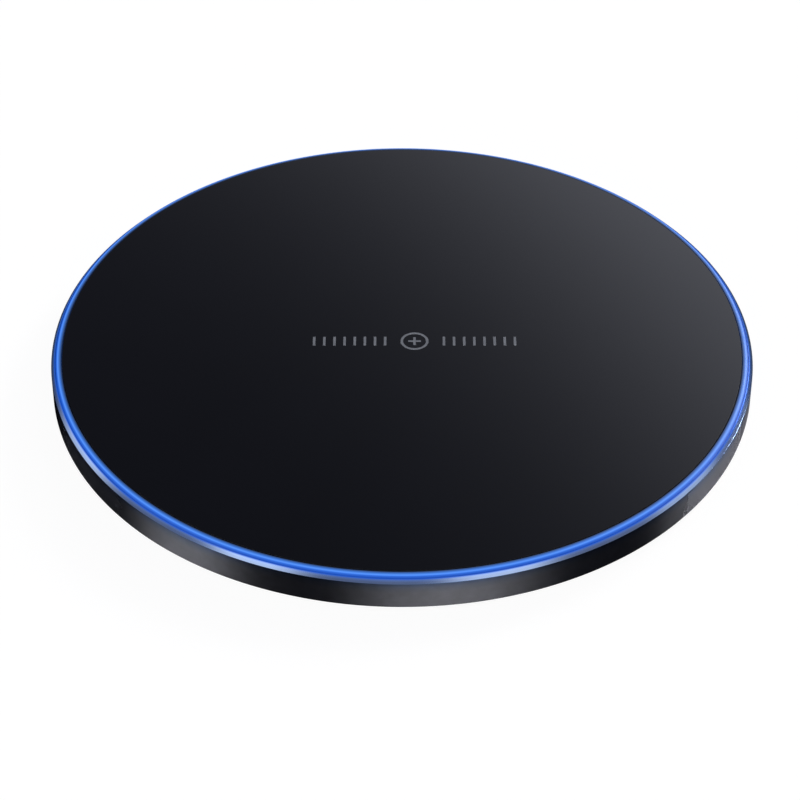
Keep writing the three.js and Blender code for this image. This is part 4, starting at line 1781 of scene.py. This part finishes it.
@dataclass(frozen=True)
class BoardPart:
    """One part on the board: its node, its kind, and its size across and along the ring."""

    node: str
    kind: Package
    across: float
    along: float
    slot: str
    terminal: float = 0.12
    edge: float = 0.06
    foot_edge: float = 0.03
    chip_lift: float = 0.03
    pin_pitch: float = 0.65
    pin_width: float = 0.3
    pin_length: float = 0.45
    pin_height: float = 0.2
    dimple_radius: float = 0.22
    dimple_depth: float = 0.05
    dimple_inset: float = 0.7
    cap_share: float = 0.2
    cap_proud: float = 0.04
    block_lift: float = 0.08
    block_edge: float = 0.3
    pad_length: float = 0.9
    pad_height: float = 0.16
    pad_share: float = 0.35
    pad_edge: float = 0.04
    lamp_lift: float = 0.02
    lamp_inset: float = 0.25
    lamp_wall: float = 0.2
    lamp_sill: float = 0.12
    lamp_hollow: float = 0.25
    lens_fit: float = 0.05
    lens_lap: float = 0.02
    lens_sink: float = 0.08
    lamp_pad_inset: float = 0.1
    lamp_pad_share: float = 0.6

    def build(self) -> None:
        """Makes the part where its node stands."""
        reach = Reach.of(self.node)
        height = reach.high.z - reach.low.z
        shapes = {
            Package.CHIP: (self.chip, [CHIP_BODY, TINNED]),
            Package.CAPACITOR: (self.two_ended, [FIRED, TINNED]),
            Package.RESISTOR: (self.two_ended, [CHIP_BODY, TINNED]),
            Package.INDUCTOR: (self.inductor, [PRESSED, TINNED]),
            Package.LAMP: (self.lamp, [LAMP_BODY, LENS, TINNED]),
        }
        make, finishes = shapes[self.kind]
        middle = reach.middle
        turn = math.atan2(middle.y, middle.x)
        place = Matrix.Translation((middle.x, middle.y, reach.low.z))
        form = placed(make(height), place @ Matrix.Rotation(turn, 4, "Z"))
        settle(f"part_{self.node}", form, finishes, [self.node])

    def body(
        self, inset_x: float, inset_y: float, low: float, high: float, edge: float
    ) -> Form:
        """Makes the part's body, drawn in from its outline.

        Args:
            inset_x: how far in across the ring, in mm.
            inset_y: how far in along the ring.
            low: its lower level above the board.
            high: its upper level.
            edge: its rounding.

        Returns:
            The body's mesh.
        """
        x, y = self.across / 2 - inset_x, self.along / 2 - inset_y
        return painted(block((-x, -y, low), (x, y, high), edge), 0)

    def chip(self, height: float) -> Form:
        """Makes a flat chip with a dimple at its first pin and pins along two sides.

        Args:
            height: the chip's height, in mm.

        Returns:
            The chip's mesh.
        """
        pin = self.terminal
        form = self.body(pin, pin, self.chip_lift, height, self.edge)
        x, y = self.across / 2 - self.dimple_inset, self.along / 2 - self.dimple_inset
        low, high = height - self.dimple_depth, height + OVERRUN
        parts = [carve(form, [round_post(self.dimple_radius, low, high, x, y, 20)])]
        count = int((self.along - 2 * pin) / self.pin_pitch)
        half = self.pin_width / 2
        for side in (-1, 1):
            outer, inner = side * self.across / 2, side * (self.across / 2 - self.pin_length)
            for number in range(count):
                y = (number - (count - 1) / 2) * self.pin_pitch
                ends = (outer, y - half, 0), (inner, y + half, self.pin_height)
                parts.append(painted(block(*ends, self.foot_edge), 1))
        return together(*parts)

    def two_ended(self, height: float) -> Form:
        """Makes a body between two metal ends.

        Args:
            height: the part's height, in mm.

        Returns:
            The part's mesh.
        """
        cap = self.across * self.cap_share
        proud = self.cap_proud
        parts = [self.body(cap * 0.8, proud, proud, height - proud, self.edge)]
        half = self.along / 2
        for side in (-1, 1):
            outer, inner = side * self.across / 2, side * (self.across / 2 - cap)
            end = block((outer, -half, 0), (inner, half, height), self.edge * 1.5, 3)
            parts.append(painted(end, 1))
        return together(*parts)

    def inductor(self, height: float) -> Form:
        """Makes a pressed block with softened edges over two flat terminals.

        Args:
            height: the part's height, in mm.

        Returns:
            The part's mesh.
        """
        inset, half = self.terminal, self.along * self.pad_share
        parts = [self.body(inset, inset, self.block_lift, height, self.block_edge)]
        for side in (-1, 1):
            outer, inner = side * self.across / 2, side * (self.across / 2 - self.pad_length)
            pad = block((outer, -half, 0), (inner, half, self.pad_height), self.pad_edge)
            parts.append(painted(pad, 1))
        return together(*parts)

    def lamp(self, height: float) -> Form:
        """Makes a side-firing lamp: a white body, a lens that faces outwards, and two pads.

        Args:
            height: the lamp's height, in mm.

        Returns:
            The lamp's mesh.
        """
        x, y = self.across / 2, self.along / 2
        end, sill = y - self.lamp_inset, self.lamp_sill
        body = block((-x, -end, self.lamp_lift), (x, end, height), self.edge)
        inner = end - self.lamp_wall
        lap, back = self.lens_lap, x - self.lamp_hollow
        hollow = block((back, -inner, sill + lap), (x + OVERRUN, inner, height - sill))
        reach = inner + self.lens_fit
        lens = block(
            (back - self.lens_fit, -reach, sill),
            (x - self.lens_sink, reach, height - sill + lap),
            self.pad_edge,
        )
        parts = [painted(carve(body, [hollow]), 0), painted(lens, 1)]
        for side in (-1, 1):
            outer, inner = side * y, side * (y - self.pin_length)
            high = height * self.lamp_pad_share
            half = x - self.lamp_pad_inset
            pad = block((-half, outer, 0), (half, inner, high), self.foot_edge)
            parts.append(painted(pad, 2))
        return together(*parts)


@dataclass(frozen=True)
class Board:
    """The ring-shaped circuit board and the parts that stand on it."""

    lug_half_width: float = 2.7
    lug_circle: float = 43.3
    socket_margin: float = 0.3
    edge: float = 0.04
    sides: int = 192

    def build(self) -> None:
        """Makes the board and its parts."""
        settle("board", self.plate(), [MASKED], ["main_board"])
        for part in self.parts():
            part.build()

    def plate(self) -> Form:
        """Makes the ring, notched for the lugs and for the socket.

        Returns:
            The board's mesh.
        """
        reach, shell = Reach.of("main_board"), Reach.of("usb_shell")
        hole = hole_radius("main_board")
        outer, bottom, top = -reach.low.y, reach.low.z, reach.high.z
        corners = [(hole, bottom), (outer, bottom), (outer, top), (hole, top)]
        form = spun(corners, self.sides)
        ease(form, hoops(form, corners), self.edge, 1)
        low, high, far = bottom - OVERRUN, top + OVERRUN, outer + 2 * OVERRUN
        room = self.lug_half_width
        tools = []
        for corner in range(CORNERS):
            nose = round_post(room, low, high, self.lug_circle)
            arm = block((self.lug_circle, -room, low), (far, room, high))
            tools += [placed(nose, corner_turn(corner)), placed(arm, corner_turn(corner))]
        half = shell.high.x + self.socket_margin
        back = shell.low.y - self.socket_margin
        tools.append(block((-half, back, low), (half, far, high)))
        return carve(form, tools)

    def parts(self) -> list[BoardPart]:
        """Lists the parts, each with its size across and along the ring."""
        chips = {
            "controller_chip": (6.0, 6.0),
            "input_regulator": (4.0, 5.0),
            "power_bridge_1": (3.3, 3.3),
            "power_bridge_2": (3.3, 3.3),
        }
        parts = [BoardPart(n, Package.CHIP, *size, "chip_black") for n, size in chips.items()]
        parts.append(BoardPart("sense_resistor", Package.RESISTOR, 6.3, 3.2, "chip_black"))
        parts.append(BoardPart("buck_inductor", Package.INDUCTOR, 4.0, 4.0, "inductor_grey"))
        for number in (1, 2, 3, 4):
            node = f"resonant_capacitor_{number}"
            parts.append(BoardPart(node, Package.CAPACITOR, 3.2, 2.5, "capacitor_ceramic"))
        for number in (1, 2):
            node = f"input_capacitor_{number}"
            parts.append(BoardPart(node, Package.CAPACITOR, 3.2, 1.6, "capacitor_ceramic"))
        for number in range(1, 7):
            parts.append(BoardPart(f"led_{number}", Package.LAMP, 1.0, 3.0, "led_white"))
        return parts


# ---------------------------------------------------------------- run


def main() -> None:
    """Builds the camera, the studio and each sub-assembly in order."""
    logging.basicConfig(level=logging.INFO, format="%(message)s")
    Viewpoint().build()
    Studio().build()
    CoverGlass().build()
    redress("panel_adhesive", TAPE)
    LightRing().build()
    Rim().build()
    Base().build()
    for number in range(1, CORNERS + 1):
        Foot().build(number)
        Screw().build(number)
    Socket().build()
    Coil().build()
    Board().build()


if __name__ == "__main__":
    main()
